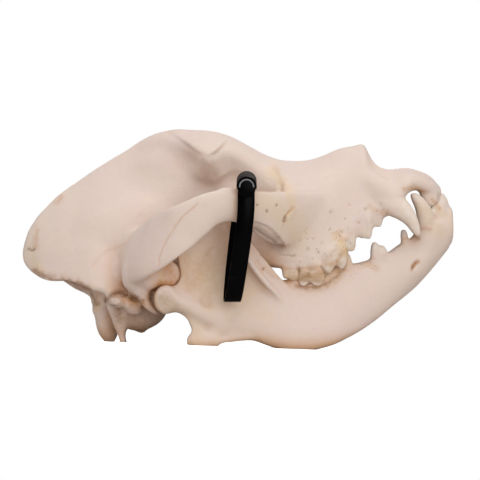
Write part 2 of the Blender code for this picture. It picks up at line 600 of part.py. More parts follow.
def tag_band():
    """The strip, bent flat along its path with its width lying fore and aft."""
    path = smooth_path(BAND, 2)
    rings = []
    for spot, run in zip(path, np.gradient(path, axis=0)):
        out = np.array((0, run[2], -run[1]))
        out *= BAND_HALF_THICK / np.linalg.norm(out)
        wide = np.array((BAND_HALF_WIDTH, 0, 0))
        ring = []
        for across, up in ((0.94, 1), (1, 0.4), (1, -0.4), (0.94, -1), (-0.94, -1), (-1, -0.4), (-1, 0.4),
                           (-0.94, 1)):
            ring.append(spot + wide * across + out * up)
        rings.append(ring)
    return loft("tag_band", rings)


def tag_clasp():
    """A little housing with a round top, over the strip's two ends."""
    x, y, z = CLASP_CENTRE
    middle = z + CLASP_TALL / 2
    shape = [(x - CLASP_HALF_WIDTH, z), (x + CLASP_HALF_WIDTH, z)]
    for a in np.linspace(0, math.pi, 13):
        height = z + CLASP_TALL - CLASP_HALF_WIDTH * (1 - math.sin(a))
        shape.append((x + CLASP_HALF_WIDTH * math.cos(a), height))
    rings = []
    for side, inset in ((-1, 0.9), (-0.78, 0.25), (-0.5, 0), (0.5, 0), (0.78, 0.25), (1, 0.9)):
        narrower, lower = 1 - inset / CLASP_HALF_WIDTH, 1 - inset * 2 / CLASP_TALL
        rings.append([(x + (px - x) * narrower, y + side * CLASP_HALF_DEEP, middle + (pz - middle) * lower)
                      for px, pz in shape])
    return loft("tag_clasp", rings)


# Parting, resting and naming.

def face_region(name, ahead):
    """Everything ahead of, or behind, a slanting cut through the eye sockets."""
    near = GAP / 2 if ahead else -GAP / 2
    obj = box(name, (near if ahead else -FAR, -FAR, -FAR), (FAR if ahead else near, FAR, FAR))
    obj.data.transform(Matrix.Translation((FACE_CUT_X * MM, 0, FACE_CUT_Z * MM))
                       @ Matrix.Rotation(FACE_CUT_LEAN, 4, "Y"))
    return obj


def arch_region(name, grown):
    """Everything outside a leaning cut where the right cheekbone arch leaves the skull's side."""
    low = -ARCH_CUT_Y - (ARCH_CUT_Z - ARCH_CUT_LOW) * ARCH_CUT_SLOPE + grown
    high = -ARCH_CUT_Y - (ARCH_CUT_Z - ARCH_CUT_HIGH) * ARCH_CUT_SLOPE + grown
    corners = ((-FAR, ARCH_CUT_LOW), (low, ARCH_CUT_LOW), (high, ARCH_CUT_HIGH), (-FAR, ARCH_CUT_HIGH))
    return loft(name, [[(x, y, z) for y, z in corners] for x in (-FAR, FAR)])


def copy_of(obj, name):
    return new_object(name, obj.data.copy())


def cranium_parts():
    """The cranium parted into braincase, face and the two cheekbone arches."""
    whole = cranium()
    arches = []
    for side in ("right", "left"):
        region = arch_region("outside", -GAP / 2)
        if side == "left":
            region = baked_mirror(region)
        piece = combined(copy_of(whole, "cheek_arch_" + side), [region], "INTERSECT")
        arches.append(largest(piece))
    middle = combined(whole, both_sides([arch_region("outside", GAP / 2)]), "DIFFERENCE")
    face = combined(copy_of(middle, "face"), [face_region("ahead", True)], "INTERSECT")
    braincase = combined(middle, [face_region("behind", False)], "INTERSECT")
    return largest(braincase), largest(face), arches


def baked_mirror(obj):
    """obj swapped for its mirror image."""
    mirrored = other_side(obj)
    remove([obj])
    return mirrored


def spread_out(obj):
    """What lies beside the middle plane is moved out from the layout's middle in proportion."""
    for vert in obj.data.vertices:
        more = 1 + abs(vert.co.y) / (SPREAD * MM)
        vert.co.x *= more
        vert.co.z = LEVEL * MM + (vert.co.z - LEVEL * MM) * more


def rested(obj):
    """obj spread out, tipped to how the skull lies, and cut flat where it touches the table."""
    spread_out(obj)
    about = Matrix.Translation((REST_POINT_X * MM, 0, 0))
    obj.data.transform(Matrix.Translation(Vector(REST_SHIFT) * MM) @ about
                       @ Matrix.Rotation(-REST_TIP, 4, "Y") @ about.inverted())
    lowest = min(v.co.z for v in obj.data.vertices)
    if lowest >= 0:
        return obj
    return largest(combined(obj, [box("under_the_table", (-FAR, -FAR, -20), (FAR, FAR, 0))], "DIFFERENCE"))


def named(obj, name, look, collection):
    """obj under its final name, with a material of its own, in the skull's collection."""
    colour, rough = COLOURS[look]
    material = bpy.data.materials.new(name)
    material.use_nodes = True
    shader = material.node_tree.nodes["Principled BSDF"]
    shader.inputs["Base Color"].default_value = colour
    shader.inputs["Roughness"].default_value = rough
    material.diffuse_color = colour
    obj.data.materials.clear()
    obj.data.materials.append(material)
    obj.name = obj.data.name = name
    bpy.context.scene.collection.objects.unlink(obj)
    collection.objects.link(obj)


def main():
    remove(list(bpy.data.objects))
    collection = bpy.data.collections.new("dog_skull")
    bpy.context.scene.collection.children.link(collection)
    braincase, face, arches = cranium_parts()
    face = combined(face, both_sides(crowns(UPPER_TEETH, UPPER_CANINE)), "UNION")
    jaw = combined(jaw_half(), crowns(LOWER_TEETH, LOWER_CANINE), "UNION")
    named(rested(braincase), "braincase", "bone", collection)
    named(rested(largest(face)), "upper_jaw", "bone", collection)
    for side, bow in zip(("right", "left"), arches):
        named(rested(bow), "cheek_arch_" + side, "bone", collection)
    named(rested(other_side(jaw)), "lower_jaw_left", "bone", collection)
    named(rested(jaw), "lower_jaw_right", "bone", collection)
    named(rested(tag_band()), "tag_band", "band", collection)
    named(rested(tag_clasp()), "tag_clasp", "clasp", collection)


if __name__ == "__main__":
    main()
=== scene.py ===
"""Looks of the dog skull: bone, teeth and the tag in fine detail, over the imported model.

Life size. +X points to the nose, +Y to the animal's left and +Z up. Lengths are in millimetres until a mesh
is made. The shapes are laid out in the side view of a skull in a level picture, then tipped to how it rests.
"""

import math

import bmesh
import bpy
import numpy as np
from mathutils import Euler, Matrix, Vector


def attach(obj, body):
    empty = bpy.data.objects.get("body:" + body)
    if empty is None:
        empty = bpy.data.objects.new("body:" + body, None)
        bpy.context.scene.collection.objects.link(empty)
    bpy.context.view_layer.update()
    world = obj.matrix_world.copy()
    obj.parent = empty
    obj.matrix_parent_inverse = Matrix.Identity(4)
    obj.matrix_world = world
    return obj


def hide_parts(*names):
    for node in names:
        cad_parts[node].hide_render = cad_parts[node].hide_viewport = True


MM = 0.001
GAP = 0.3

# How finely the clay shapes are sampled, how round their inner corners are.
CORE_VOXEL, CLAY_VOXEL, FINE_VOXEL = 1.0, 0.85, 0.6
CORE_FILLET, CRANIUM_FILLET, JAW_FILLET, TOOTH_FILLET = 6.5, 2.0, 1.8, 0.8
UNEVENNESS = 0.12

# The tables are laid out on the middle plane. What lies beside it is moved out from the point above the
# origin at this level, in proportion to its distance from the plane over this length.
SPREAD, LEVEL = 1800.0, 58.2

# How the skull lies: tipped about its jaw's lowest point, then moved to the middle of the frame.
REST_POINT_X = 32.0
REST_TIP = math.radians(2.2)
REST_SHIFT = (3.4, 2.0, 0.5)

# Where the cranium is parted into the face, the braincase and the cheekbone arches.
FACE_CUT_X, FACE_CUT_Z, FACE_CUT_LEAN = 14.0, 75.0, math.radians(20)
ARCH_CUT_Y, ARCH_CUT_Z, ARCH_CUT_SLOPE = 44.0, 60.0, 0.36

# The camera looks at the skull's right side, level with the middle of the picture. The tables are drawn as
# seen from nearer than it stands.
EYE_FAR, DRAWN_FAR, EYE_HEIGHT = 9000.0, 1500.0, 58.2
PICTURE, PX = 480, 0.54

# Lines of the cranium in side view, as (x, z) from back to front.
TOP = ((-118, 50), (-116.7, 57), (-114.8, 62.5), (-110.2, 70.3), (-104, 77.3), (-97, 84), (-88, 90.2),
       (-80, 96), (-71, 101.6), (-62, 106.8), (-54, 111.6), (-45, 115.8), (-36, 117.6), (-24, 117.5),
       (-15, 116.8), (-6, 114.5), (2, 110.5), (11, 105.3), (19, 101.9), (28, 100.7), (37, 101.3),
       (45, 103.8), (54, 107.6), (62, 108.8), (68, 109))
NOSE_RIM = ((62, 108.8), (67.6, 109), (69.4, 104), (72.8, 99.8), (77, 97.8), (82, 97.3), (86.2, 98.3),
            (90.6, 97.9), (94.3, 96.9), (97, 95.7), (100.8, 93.8), (103.5, 91.8), (106.2, 89.2),
            (107.8, 86.2), (109.5, 82.5))
NUCHAL_Z = ((-118, 47), (-114, 42), (-109, 39), (-104, 37), (-100, 36.4), (-91, 36.8), (-86, 35.2),
            (-82, 34.2), (-77, 32), (-72, 31), (-66, 31.4), (-60, 34), (-55, 42), (-45, 58), (-30, 71))
SKULL_BASE = ((-76, 40), (-45, 36), (-30, 37), (-15, 45), (0, 52), (12, 57), (35, 62))
GUM_UPPER = ((4, 52), (12, 45.4), (16, 44), (21, 43.8), (28, 42.6), (35, 42.2), (41, 45), (47, 50),
             (53, 57), (59, 62.2), (65, 66.3), (71, 69.4), (77, 70.4), (81, 72.5), (85, 77), (88, 82),
             (91.4, 85.4), (95, 85.6), (99, 84), (103, 82.2), (109.5, 80.4))
PALATE = ((4, 60), (20, 59), (32, 58), (45, 63), (57, 71), (71, 78.5), (83, 83), (93, 86.5),
          (109.5, 87))

# Half widths of the cranium seen from above, as (x, y).
CREST_W = ((-118, 2.4), (-100, 1.7), (-70, 1.8), (-56, 2.6), (-46, 5), (-38, 9), (-30, 14))
NUCHAL_W = ((-118, 3.5), (-114, 8), (-109, 14.5), (-100, 22), (-91, 27.5), (-84, 31.5), (-77, 34.5),
            (-72, 34.5), (-66, 32), (-55, 28), (-45, 24), (-30, 20))
FOREHEAD_W = ((-52, 6), (-44, 10), (-36, 16), (-28, 22.5), (-21, 28.5), (-17, 31), (-13, 29.5), (-8, 26),
              (0, 23), (10, 21.5), (18, 20.5), (26, 19))
FOREHEAD_DROP = ((-52, 3), (-36, 6.5), (-28, 9), (-21, 12), (-17, 14), (-13, 12), (-8, 9), (0, 7.5),
                 (26, 7.5))
ORBIT_W = ((-76, 4), (-66, 8), (-56, 13.5), (-45, 18), (-35, 19), (-25, 18), (-15, 17.5), (-5, 17.5),
           (5, 18.5), (15, 20), (25, 22), (35, 20))
NASAL_W = ((4, 13), (20, 14.5), (35, 12.5), (50, 11.5), (60, 11.5), (68, 12), (84, 13), (93, 13),
           (100, 11), (106, 7.5), (109.5, 5))
CHEEK_W = ((4, 18), (12, 26), (20, 34.6), (27, 39), (33, 39), (40, 36), (47, 31.2), (55, 26),
           (62, 22.8), (70, 22), (80, 23.8), (88, 24), (95, 20), (102, 16), (106, 12), (109.5, 8))
BROW_W = ((4, 17), (12, 24), (18, 30), (24, 33), (30, 31.6), (38, 28), (46, 23.6), (55, 19.8),
          (68, 17.4), (84, 18.6), (95, 16.6), (102, 13), (109.5, 6.5))
GUM_W = ((4, 22), (12, 30), (20, 35.6), (30, 37.6), (38, 37.4), (44, 36.4), (52, 32.6), (60, 29),
         (70, 26.2), (80, 25.5), (88, 26.5), (94, 22), (101, 17.5), (106, 13.5), (109.5, 9))

# The right cheekbone arch as (x, y, z, half height, half thickness), from the temporal bone to the maxilla.
ARCH = ((-57.6, -31, 50, 13, 6), (-53.2, -44, 50.6, 16.6, 5.6), (-46, -56.4, 55, 16.6, 3.8),
        (-35.4, -64.5, 61.6, 13.9, 3.1), (-25.8, -67, 67.8, 11.5, 3.2), (-15.3, -67.5, 74.1, 9.4, 3.4),
        (-4.8, -66, 76, 8.8, 3.8), (5.8, -61.5, 74.5, 9.8, 4.4), (14, -54, 71.4, 12.4, 5),
        (21, -46.6, 69.8, 14.6, 5.2), (29, -39.6, 70, 15, 5.2), (38, -32, 71.5, 13, 5),
        (47, -24, 73, 10, 4))

# Lines of the lower jaw in side view and its half's middle line from above.
JAW_BOTTOM = ((-14, 6.4), (-9, 6.1), (-2, 6.5), (6, 5.5), (14.7, 2.2), (23.5, 0), (31.3, -0.6), (40, 0),
              (49.3, 2.3), (57, 5.9), (66, 10.8), (75.6, 17.6), (83.6, 24.1), (92.5, 31), (100.5, 39.2),
              (110, 50.6), (113.6, 55.6), (116, 61))
JAW_TOP = ((-14, 29.4), (0, 33.3), (10, 35.3), (19.6, 36.4), (31.3, 35.8), (42, 37.7), (49.3, 41),
           (55.3, 45.8), (61.2, 46), (69, 48), (77.6, 50.8), (85.5, 56.3), (91.5, 59.3), (97, 63),
           (101.5, 67.8), (106, 73.5), (110, 77), (116, 75))
JAW_MIDDLE = ((-14, -45.5), (0, -41), (15, -36), (32, -31.5), (50, -26.5), (67, -20), (78, -15.4),
              (85, -12), (92, -7.5), (102, -5), (116, -3))
JAW_HALF_THICK = ((-14, 5.5), (0, 6.5), (15, 7.5), (50, 7.5), (67, 7), (78, 7), (85, 8.6), (92, 12.6),
                  (102, 12.6), (110, 10.4), (116, 7.6))
JAW_LEAN = ((-14, 0), (15, 3), (32, 5), (50, 4.5), (67, 2), (84, 0), (115, 0))

# Outline of the upright branch of the lower jaw in side view, as (x, z).
RAMUS = ((27, 33), (21.5, 38.2), (16.8, 43.5), (10.2, 51.5), (3, 60.8), (-4.6, 71), (-9.7, 77.7),
         (-15.5, 80.1), (-21.3, 78.1), (-26.1, 71.8), (-30, 62.7), (-32.7, 53), (-31.9, 44.3), (-31.2, 39.4),
         (-33, 35.1), (-36.8, 32.6), (-39.7, 26.5), (-34.8, 21.6), (-29.7, 19), (-26, 16.4),
         (-21.2, 12.6), (-20.6, 10), (-24.4, 8.2), (-27.6, 6.2), (-26.6, 4.4), (-21.9, 2.2), (-16.2, 1.7),
         (-13, 2.3), (-9.1, 5.2), (-4.3, 7.4), (4.5, 7.4), (23.2, 6.5), (31, 20.1))
RAMUS_THICK = 5.2
RAMUS_MIDDLE = ((-42, -50.5), (-20, -48.8), (-5, -46.4), (5, -43.6), (15, -39.4), (24, -35), (32, -31))

# The tag: a strip of flat plastic looped over the right cheekbone as (x, y, z) down its outer strand, round
# the bottom and up its inner one, with both ends in a clasp on top.
BAND = ((3.3, -71.6, 86.6), (3.2, -72.4, 82), (3.1, -72.8, 74), (2.3, -72.4, 65), (1.1, -71, 56),
        (-0.6, -68.4, 44), (-2.4, -64.4, 33), (-3.6, -61.2, 27.4), (-4.2, -58.4, 26.6), (-4.2, -56.6, 28.6),
        (-3.9, -55.4, 34), (-2.8, -54.6, 46), (-1.2, -54.8, 60), (0.6, -55.6, 74), (2.2, -56.6, 83),
        (3.2, -59.4, 88.6), (3.4, -63.8, 90.6), (3.4, -67.2, 90.4))
BAND_HALF_WIDTH, BAND_HALF_THICK = 4.4, 0.55
CLASP_CENTRE = (3.4, -71.2, 84.2)
CLASP_HALF_WIDTH, CLASP_TALL, CLASP_HALF_DEEP = 5.2, 9.6, 3.6
CLASP_ARC_Z = 85.6
# The housing's outer side: its domed face, and the rim and ring on it as (radius, thickness, how far proud).
FACE_RADII, RIM, RING = (4.7, 0.8, 5.3), (4.7, 0.6, 0.1), (3.6, 0.42, 0.5)


def through(table, x):
    """The smooth line through the table's (place, value) points, read at x."""
    at, value = np.array(table, float).T
    slope = np.gradient(value, at)
    x = np.clip(x, at[0], at[-1])
    i = np.clip(np.searchsorted(at, x) - 1, 0, len(at) - 2)
    span = at[i + 1] - at[i]
    t = (x - at[i]) / span
    ease = t * t * (3 - 2 * t)
    bow = t * (1 - t)
    return (value[i] * (1 - ease) + value[i + 1] * ease
            + bow * span * (slope[i] * (1 - t) - slope[i + 1] * t))


def smooth_path(points, steps):
    """Points on the Catmull-Rom curve through the given ones, steps to each stretch."""
    p = np.array(points, float)
    p = np.vstack([2 * p[0] - p[1], p, 2 * p[-1] - p[-2]])
    made = []
    for a, b, c, d in zip(p, p[1:], p[2:], p[3:]):
        for t in np.arange(steps) / steps:
            made.append(0.5 * (2 * b + (c - a) * t + (2 * a - 5 * b + 4 * c - d) * t ** 2
                               + (3 * b - a - 3 * c + d) * t ** 3))
    return np.array([*made, p[-2]])


def new_object(name, data):
    obj = bpy.data.objects.new(name, data)
    bpy.context.scene.collection.objects.link(obj)
    return obj


def remove(objects):
    for obj in objects:
        bpy.data.objects.remove(obj)


def baked(obj):
    """A new plain mesh object from obj with its modifiers applied; obj is removed."""
    bpy.context.view_layer.update()
    graph = bpy.context.evaluated_depsgraph_get()
    mesh = bpy.data.meshes.new_from_object(obj.evaluated_get(graph))
    mesh.transform(obj.matrix_world)
    name = obj.name
    bpy.data.objects.remove(obj)
    return new_object(name, mesh)


def loft(name, rings):
    """A closed solid through rings of equal length, given in millimetres."""
    bm = bmesh.new()
    rows = [[bm.verts.new(Vector(p) * MM) for p in ring] for ring in rings]
    count = len(rows[0])
    for low, high in zip(rows, rows[1:]):
        for i in range(count):
            j = (i + 1) % count
            bm.faces.new((low[i], low[j], high[j], high[i]))
    bm.faces.new(rows[0])
    bm.faces.new(rows[-1])
    bmesh.ops.triangulate(bm, faces=bm.faces)
    bmesh.ops.recalc_face_normals(bm, faces=bm.faces)
    mesh = bpy.data.meshes.new(name)
    bm.to_mesh(mesh)
    bm.free()
    return new_object(name, mesh)


def half_sections(name, xs, outline):
    """A loft symmetric about the middle plane; outline(x) gives (y, z) points from top to bottom middle."""
    rings = []
    for x in xs:
        half = smooth_path(outline(x), 3)
        half[:, 0] = np.maximum(half[:, 0], 0)
        whole = np.vstack([half, half[-2:0:-1] * (-1, 1)])
        rings.append([(x, y, z) for y, z in whole])
    return loft(name, rings)


def limb(name, stations, up=(0, 0, 1), sides=14, steps=4):
    """A bent, tapered rod through (x, y, z, half height, half thickness), the height lying towards up."""
    path = smooth_path(stations, steps)
    spots, sizes = path[:, :3], np.maximum(path[:, 3:], 0.15)
    along = np.gradient(spots, axis=0)
    rings = []
    for spot, (high, thick), run in zip(spots, sizes, along):
        run = Vector(run).normalized()
        tall = Vector(up)
        tall = (tall - run * tall.dot(run)).normalized()
        wide = run.cross(tall)
        rings.append([Vector(spot) + tall * (high * math.cos(a)) + wide * (thick * math.sin(a))
                      for a in np.arange(sides) * 2 * math.pi / sides])
    return loft(name, rings)


def ball(name, centre, radii, turn=(0, 0, 0)):
    """An ellipsoid, turned by degrees about X, Y and Z."""
    bpy.ops.mesh.primitive_uv_sphere_add(segments=28, ring_count=16, radius=1)
    obj = bpy.context.object
    obj.name = name
    size = Matrix.Diagonal([r * MM for r in radii]).to_4x4()
    spin = Euler([math.radians(a) for a in turn]).to_matrix().to_4x4()
    obj.data.transform(Matrix.Translation(Vector(centre) * MM) @ spin @ size)
    return obj


def box(name, low, high):
    """A plain box between two corners, in millimetres."""
    bpy.ops.mesh.primitive_cube_add(size=1)
    obj = bpy.context.object
    obj.name = name
    low, high = Vector(low) * MM, Vector(high) * MM
    obj.data.transform(Matrix.Translation((low + high) / 2) @ Matrix.Diagonal(high - low).to_4x4())
    return obj


def other_side(obj):
    """The mirror image of obj across the middle plane."""
    mesh = obj.data.copy()
    mesh.transform(Matrix.Diagonal((1, -1, 1, 1)))
    mesh.flip_normals()
    return new_object(obj.name + "_mirrored", mesh)


def both_sides(pieces):
    return pieces + [other_side(p) for p in pieces]


def joined(name, pieces):
    """One object holding all the pieces' faces, still overlapping."""
    bm = bmesh.new()
    for piece in pieces:
        bm.from_mesh(piece.data)
    mesh = bpy.data.meshes.new(name)
    bm.to_mesh(mesh)
    bm.free()
    remove(pieces)
    return new_object(name, mesh)


def changed(obj, kind, **settings):
    """obj with one modifier of that kind applied."""
    step = obj.modifiers.new("step", kind)
    for key, value in settings.items():
        setattr(step, key, value)
    return baked(obj)


def remeshed(obj, voxel):
    return changed(obj, "REMESH", mode="VOXEL", voxel_size=voxel * MM)


def swollen(obj, by):
    return changed(obj, "DISPLACE", mid_level=0, strength=by * MM)


def softened(obj, times):
    return changed(obj, "SMOOTH", factor=0.5, iterations=times)


def clay(name, pieces, fillet, voxel=CLAY_VOXEL):
    """The pieces fused into one skin, with hollows rounded to the fillet's radius."""
    body = remeshed(joined(name, pieces), voxel)
    body = remeshed(swollen(softened(body, 2), fillet), voxel)
    return softened(remeshed(swollen(softened(body, 2), -fillet), voxel), 2)


def combined(body, others, how):
    """body joined with, cut by or limited to the other solids, which are then removed."""
    group = bpy.data.collections.new("operands")
    bpy.context.scene.collection.children.link(group)
    for other in others:
        group.objects.link(other)
    made = changed(body, "BOOLEAN", operation=how, operand_type="COLLECTION", collection=group,
                   solver="MANIFOLD")
    remove(others)
    bpy.data.collections.remove(group)
    return made


def points_of(mesh):
    """The mesh's points as rows of x, y and z."""
    co = np.empty(len(mesh.vertices) * 3)
    mesh.vertices.foreach_get("co", co)
    return co.reshape(-1, 3)


def put_points(mesh, co):
    mesh.vertices.foreach_set("co", co.astype(np.float32).ravel())
    mesh.update()


def largest(obj):
    """Only the biggest closed surface of obj is kept."""
    bm = bmesh.new()
    bm.from_mesh(obj.data)
    bm.verts.ensure_lookup_table()
    seen, groups = set(), []
    for start in bm.verts:
        if start.index in seen:
            continue
        group, todo = [], [start]
        seen.add(start.index)
        while todo:
            vert = todo.pop()
            group.append(vert)
            for edge in vert.link_edges:
                near = edge.other_vert(vert)
                if near.index not in seen:
                    seen.add(near.index)
                    todo.append(near)
        groups.append(group)
    groups.sort(key=len)
    bmesh.ops.delete(bm, geom=[v for g in groups[:-1] for v in g], context="VERTS")
    bm.to_mesh(obj.data)
    bm.free()
    return obj


# The cranium's masses.


def vault():
    """Back of the skull between the middle crest and the neck crests."""
    def outline(x):
        top, crest = through(TOP, x), through(CREST_W, x)
        edge_y, edge_z = through(NUCHAL_W, x), through(NUCHAL_Z, x)
        flank = []
        for f in (0.14, 0.34, 0.6, 0.84):
            spread = f ** 1.12 + 0.26 * math.sin(math.pi * f)
            flank.append((crest + (edge_y - crest) * spread, top + (edge_z - top) * f))
        return [(0, top), (crest * 0.8, top - 0.6), *flank, (edge_y, edge_z + 0.8),
                (edge_y - 1.2, edge_z - 1.2), (edge_y * 0.55, edge_z + 2.4), (0, edge_z + 1.5)]
    return half_sections("vault", np.linspace(-117.4, -30, 36), outline)


def forehead():
    """Roof over the eye sockets, with the two processes behind them."""
    def outline(x):
        top, wide, drop = through(TOP, x), through(FOREHEAD_W, x), through(FOREHEAD_DROP, x)
        return [(0, top - 1.2), (wide * 0.32, top), (wide * 0.7, top - drop * 0.42),
                (wide * 0.93, top - drop * 0.8), (wide, top - drop - 1.5), (wide - 2, top - drop - 4.5),
                (wide * 0.62, top - drop - 11), (wide * 0.3, top - drop - 17), (0, top - drop - 18)]
    return half_sections("forehead", np.linspace(-52, 26, 34), outline)


def socket_wall():
    """Narrow middle of the skull between the eye sockets."""
    def outline(x):
        top, wide, base = through(TOP, x) - 10, through(ORBIT_W, x), through(SKULL_BASE, x)
        tall = top - base
        return [(0, top), (wide * 0.75, top - 1), (wide, top - tall * 0.3), (wide * 0.9, top - tall * 0.62),
                (wide * 0.62, base + tall * 0.12), (wide * 0.35, base + 0.5), (0, base)]
    return half_sections("socket_wall", np.linspace(-76, 35, 40), outline)


def snout():
    """Upper jaw and nose bones, solid before the nose is opened."""
    def outline(x):
        top = through(NOSE_RIM if x > 62 else TOP, x)
        nose, cheek, gum = through(NASAL_W, x), through(CHEEK_W, x), through(GUM_W, x)
        brow = through(BROW_W, x)
        gum_z, roof = through(GUM_UPPER, x), through(PALATE, x)
        middle = gum_z + (top - gum_z) * 0.52
        inner = max(gum - 12, 5)
        return [(0, top - 0.5), (nose * 0.55, top), (nose * 0.95, top - 2.6),
                (brow, top * 0.6 + middle * 0.4 - 1), (cheek, middle),
                (cheek * 0.45 + gum * 0.55, middle * 0.5 + gum_z * 0.5), (gum, gum_z + 4),
                (gum - 1.2, gum_z), ((gum + inner) / 2, gum_z - 0.3), (inner + 0.8, gum_z + 1.2),
                (inner - 2.5, roof - 1.5),
                (0, roof)]
    return half_sections("snout", np.linspace(6, 109, 54), outline)


def skull_base():
    """Bar under the brain, the joint knobs with the neck, and the bony ear bulbs."""
    bar = limb("base_bar", ((-76, 0, 15, 5, 12), (-60, 0, 19, 6, 12), (-40, 0, 27, 7, 11),
                            (-15, 0, 40, 8, 9)))
    back = ball("back_of_base", (-70, 0, 27), (11, 24, 12))
    knob = ball("neck_knob", (-71.6, -13, 13.4), (5.6, 7.6, 11.2), (0, -14, 14))
    bump = ball("neck_bump", (-76.2, -14, 20.6), (3.2, 4, 3.8), (0, -20, 0))
    bulb = ball("ear_bulb", (-52, -20, 20.6), (14, 11.5, 10.4), (0, -20, 8))
    spur = limb("bulb_spur", ((-55, -18, 14, 2.6, 2.4), (-53.8, -17, 10, 1.8, 2),
                              (-50.4, -16.5, 8.8, 1, 1.4)), up=(1, 0, 0))
    return [bar, back, *both_sides([knob, bump, bulb, spur])]


def ear_region():
    """Mastoid knob, the long process in front of the neck joint and the ear opening's lip."""
    mastoid = ball("mastoid", (-64.6, -37.4, 25.2), (4.8, 4.2, 3.2), (0, 10, 0))
    stalk = limb("neck_process", ((-66.4, -31, 27, 6, 4.2), (-64.6, -30.8, 20, 5, 3.4),
                                  (-63.6, -29.8, 13, 3.8, 2.6), (-62.8, -28.6, 7, 2.2, 2),
                                  (-61.4, -27.6, 1.6, 2.8, 1.7)),
                 up=(1, 0, 0))
    lip = limb("ear_lip", ((-56.5, -24, 26, 7, 7), (-56, -33, 23.8, 5.6, 6), (-55.6, -38, 22.4, 4.2, 3.8)))
    return both_sides([mastoid, stalk, lip])


def canine_root():
    """The swelling of the upper jaw over each canine's root."""
    return both_sides([limb("canine_root", ((56, -15.6, 91.5, 6, 4), (68, -18.6, 87.6, 8, 4.8),
                                            (76, -21, 82.8, 8, 5.2), (82.4, -22.8, 78, 6.8, 4.8)))])


def jaw_joint():
    """Root of each arch, the joint's bar and lip, and the blade that curls down behind the joint."""
    bar = limb("joint_bar", ((-52, -28, 44, 6, 7), (-50, -44, 44.5, 5.5, 7), (-48, -54, 46, 5.5, 6)))
    root = ball("arch_root", (-51.5, -41, 45.5), (9.6, 9.4, 16), (0, 25, 0))
    blade = limb("joint_blade", ((-54.4, -43, 37, 6, 5), (-52, -43.6, 32.4, 5.2, 5),
                                 (-50.4, -44.2, 28, 3.2, 4.6), (-48.4, -44.8, 24, 2.4, 4),
                                 (-45.4, -45, 21, 1.6, 3.4), (-42.4, -45.2, 18.8, 1, 3)), up=(1, 0, 0.6))
    lip = limb("joint_lip", ((-38.6, -34, 41.8, 6, 6), (-37.2, -44, 40.4, 6.8, 6.6),
                             (-36.8, -50, 40.2, 6.6, 6.2), (-36.8, -52, 40.2, 5, 4.6)))
    brow = ball("joint_brow", (-47.4, -48.6, 39), (6.4, 5.6, 7))
    return both_sides([bar, root, blade, lip, brow])


def arch():
    """The two cheekbone arches, each with the small peak behind the eye."""
    bow = limb("arch", ARCH, up=(0.28, 0, 1), sides=18)
    peak = limb("arch_peak", ((-5.5, -66.8, 78.5, 8, 3.2), (-5.8, -66.5, 82.4, 7, 2.7),
                              (-6.2, -66.2, 84.8, 5.4, 1.8), (-6.2, -66, 85.6, 4.2, 0.9)), up=(1, 0, 0))
    return both_sides([bow, peak])


def throat_walls():
    """Thin upright plates under the eye sockets, either side of the throat's air passage."""
    plate = limb("throat_wall", ((-32, -10.8, 38, 7, 2), (-18, -11.8, 43, 8, 2), (-4, -13, 49.5, 8.5, 2),
                                 (10, -14.8, 55.5, 8, 2.3), (20, -16, 58, 6, 4)))
    return both_sides([plate])


def cranium_hollows():
    """Cutters for the nose, the throat's air passage, the brain's opening, the ears and the eye sockets."""
    nose = limb("nose_hollow", ((112, 0, 107.3, 9, 8), (100, 0, 102.6, 9.6, 9), (88, 0, 98.6, 10.4, 9.8),
                                (74, 0, 94.8, 11.6, 9.3), (60, 0, 92, 12, 8.6), (50, 0, 89, 8, 6)), sides=18)
    throat = limb("throat_hollow", ((-30, 0, 33, 4, 7), (-14, 0, 46, 7, 8), (0, 0, 61, 8, 8.6),
                                    (12, 0, 71, 7.5, 8.6), (28, 0, 75, 6, 7)))
    brain = limb("brain_hollow", ((-98, 0, 7, 8, 9.5), (-80, 0, 20, 8, 9.3), (-66, 0, 31, 10, 10),
                                  (-56, 0, 39, 5, 5)))
    ear = ball("ear_hollow", (-55.6, -42, 26.6), (4, 5, 1.6), (0, 22, 0))
    socket = ball("socket_hollow", (3.4, -42.4, 92.6), (19.4, 21, 13.4), (14, 14, -14))
    return [nose, throat, brain, *both_sides([ear, socket])]


def cranium():
    """The skull with its upper teeth and without its lower jaw, as one solid."""
    bulge = ball("brain_bulge", (-61, 0, 59), (43, 30.6, 30.5), (0, -18, 0))
    core = clay("core", [vault(), bulge, forehead(), socket_wall(), snout()], CORE_FILLET, CORE_VOXEL)
    pieces = [core, *skull_base(), *ear_region(), *jaw_joint(), *arch(), *throat_walls(), *canine_root()]
    body = clay("cranium", pieces, CRANIUM_FILLET)
    body = clay("toothed", [body, *both_sides(crowns(UPPER_TEETH, UPPER_CANINE))], TOOTH_FILLET, FINE_VOXEL)
    body = combined(body, cranium_hollows(), "DIFFERENCE")
    return largest(softened(remeshed(body, FINE_VOXEL), 2))


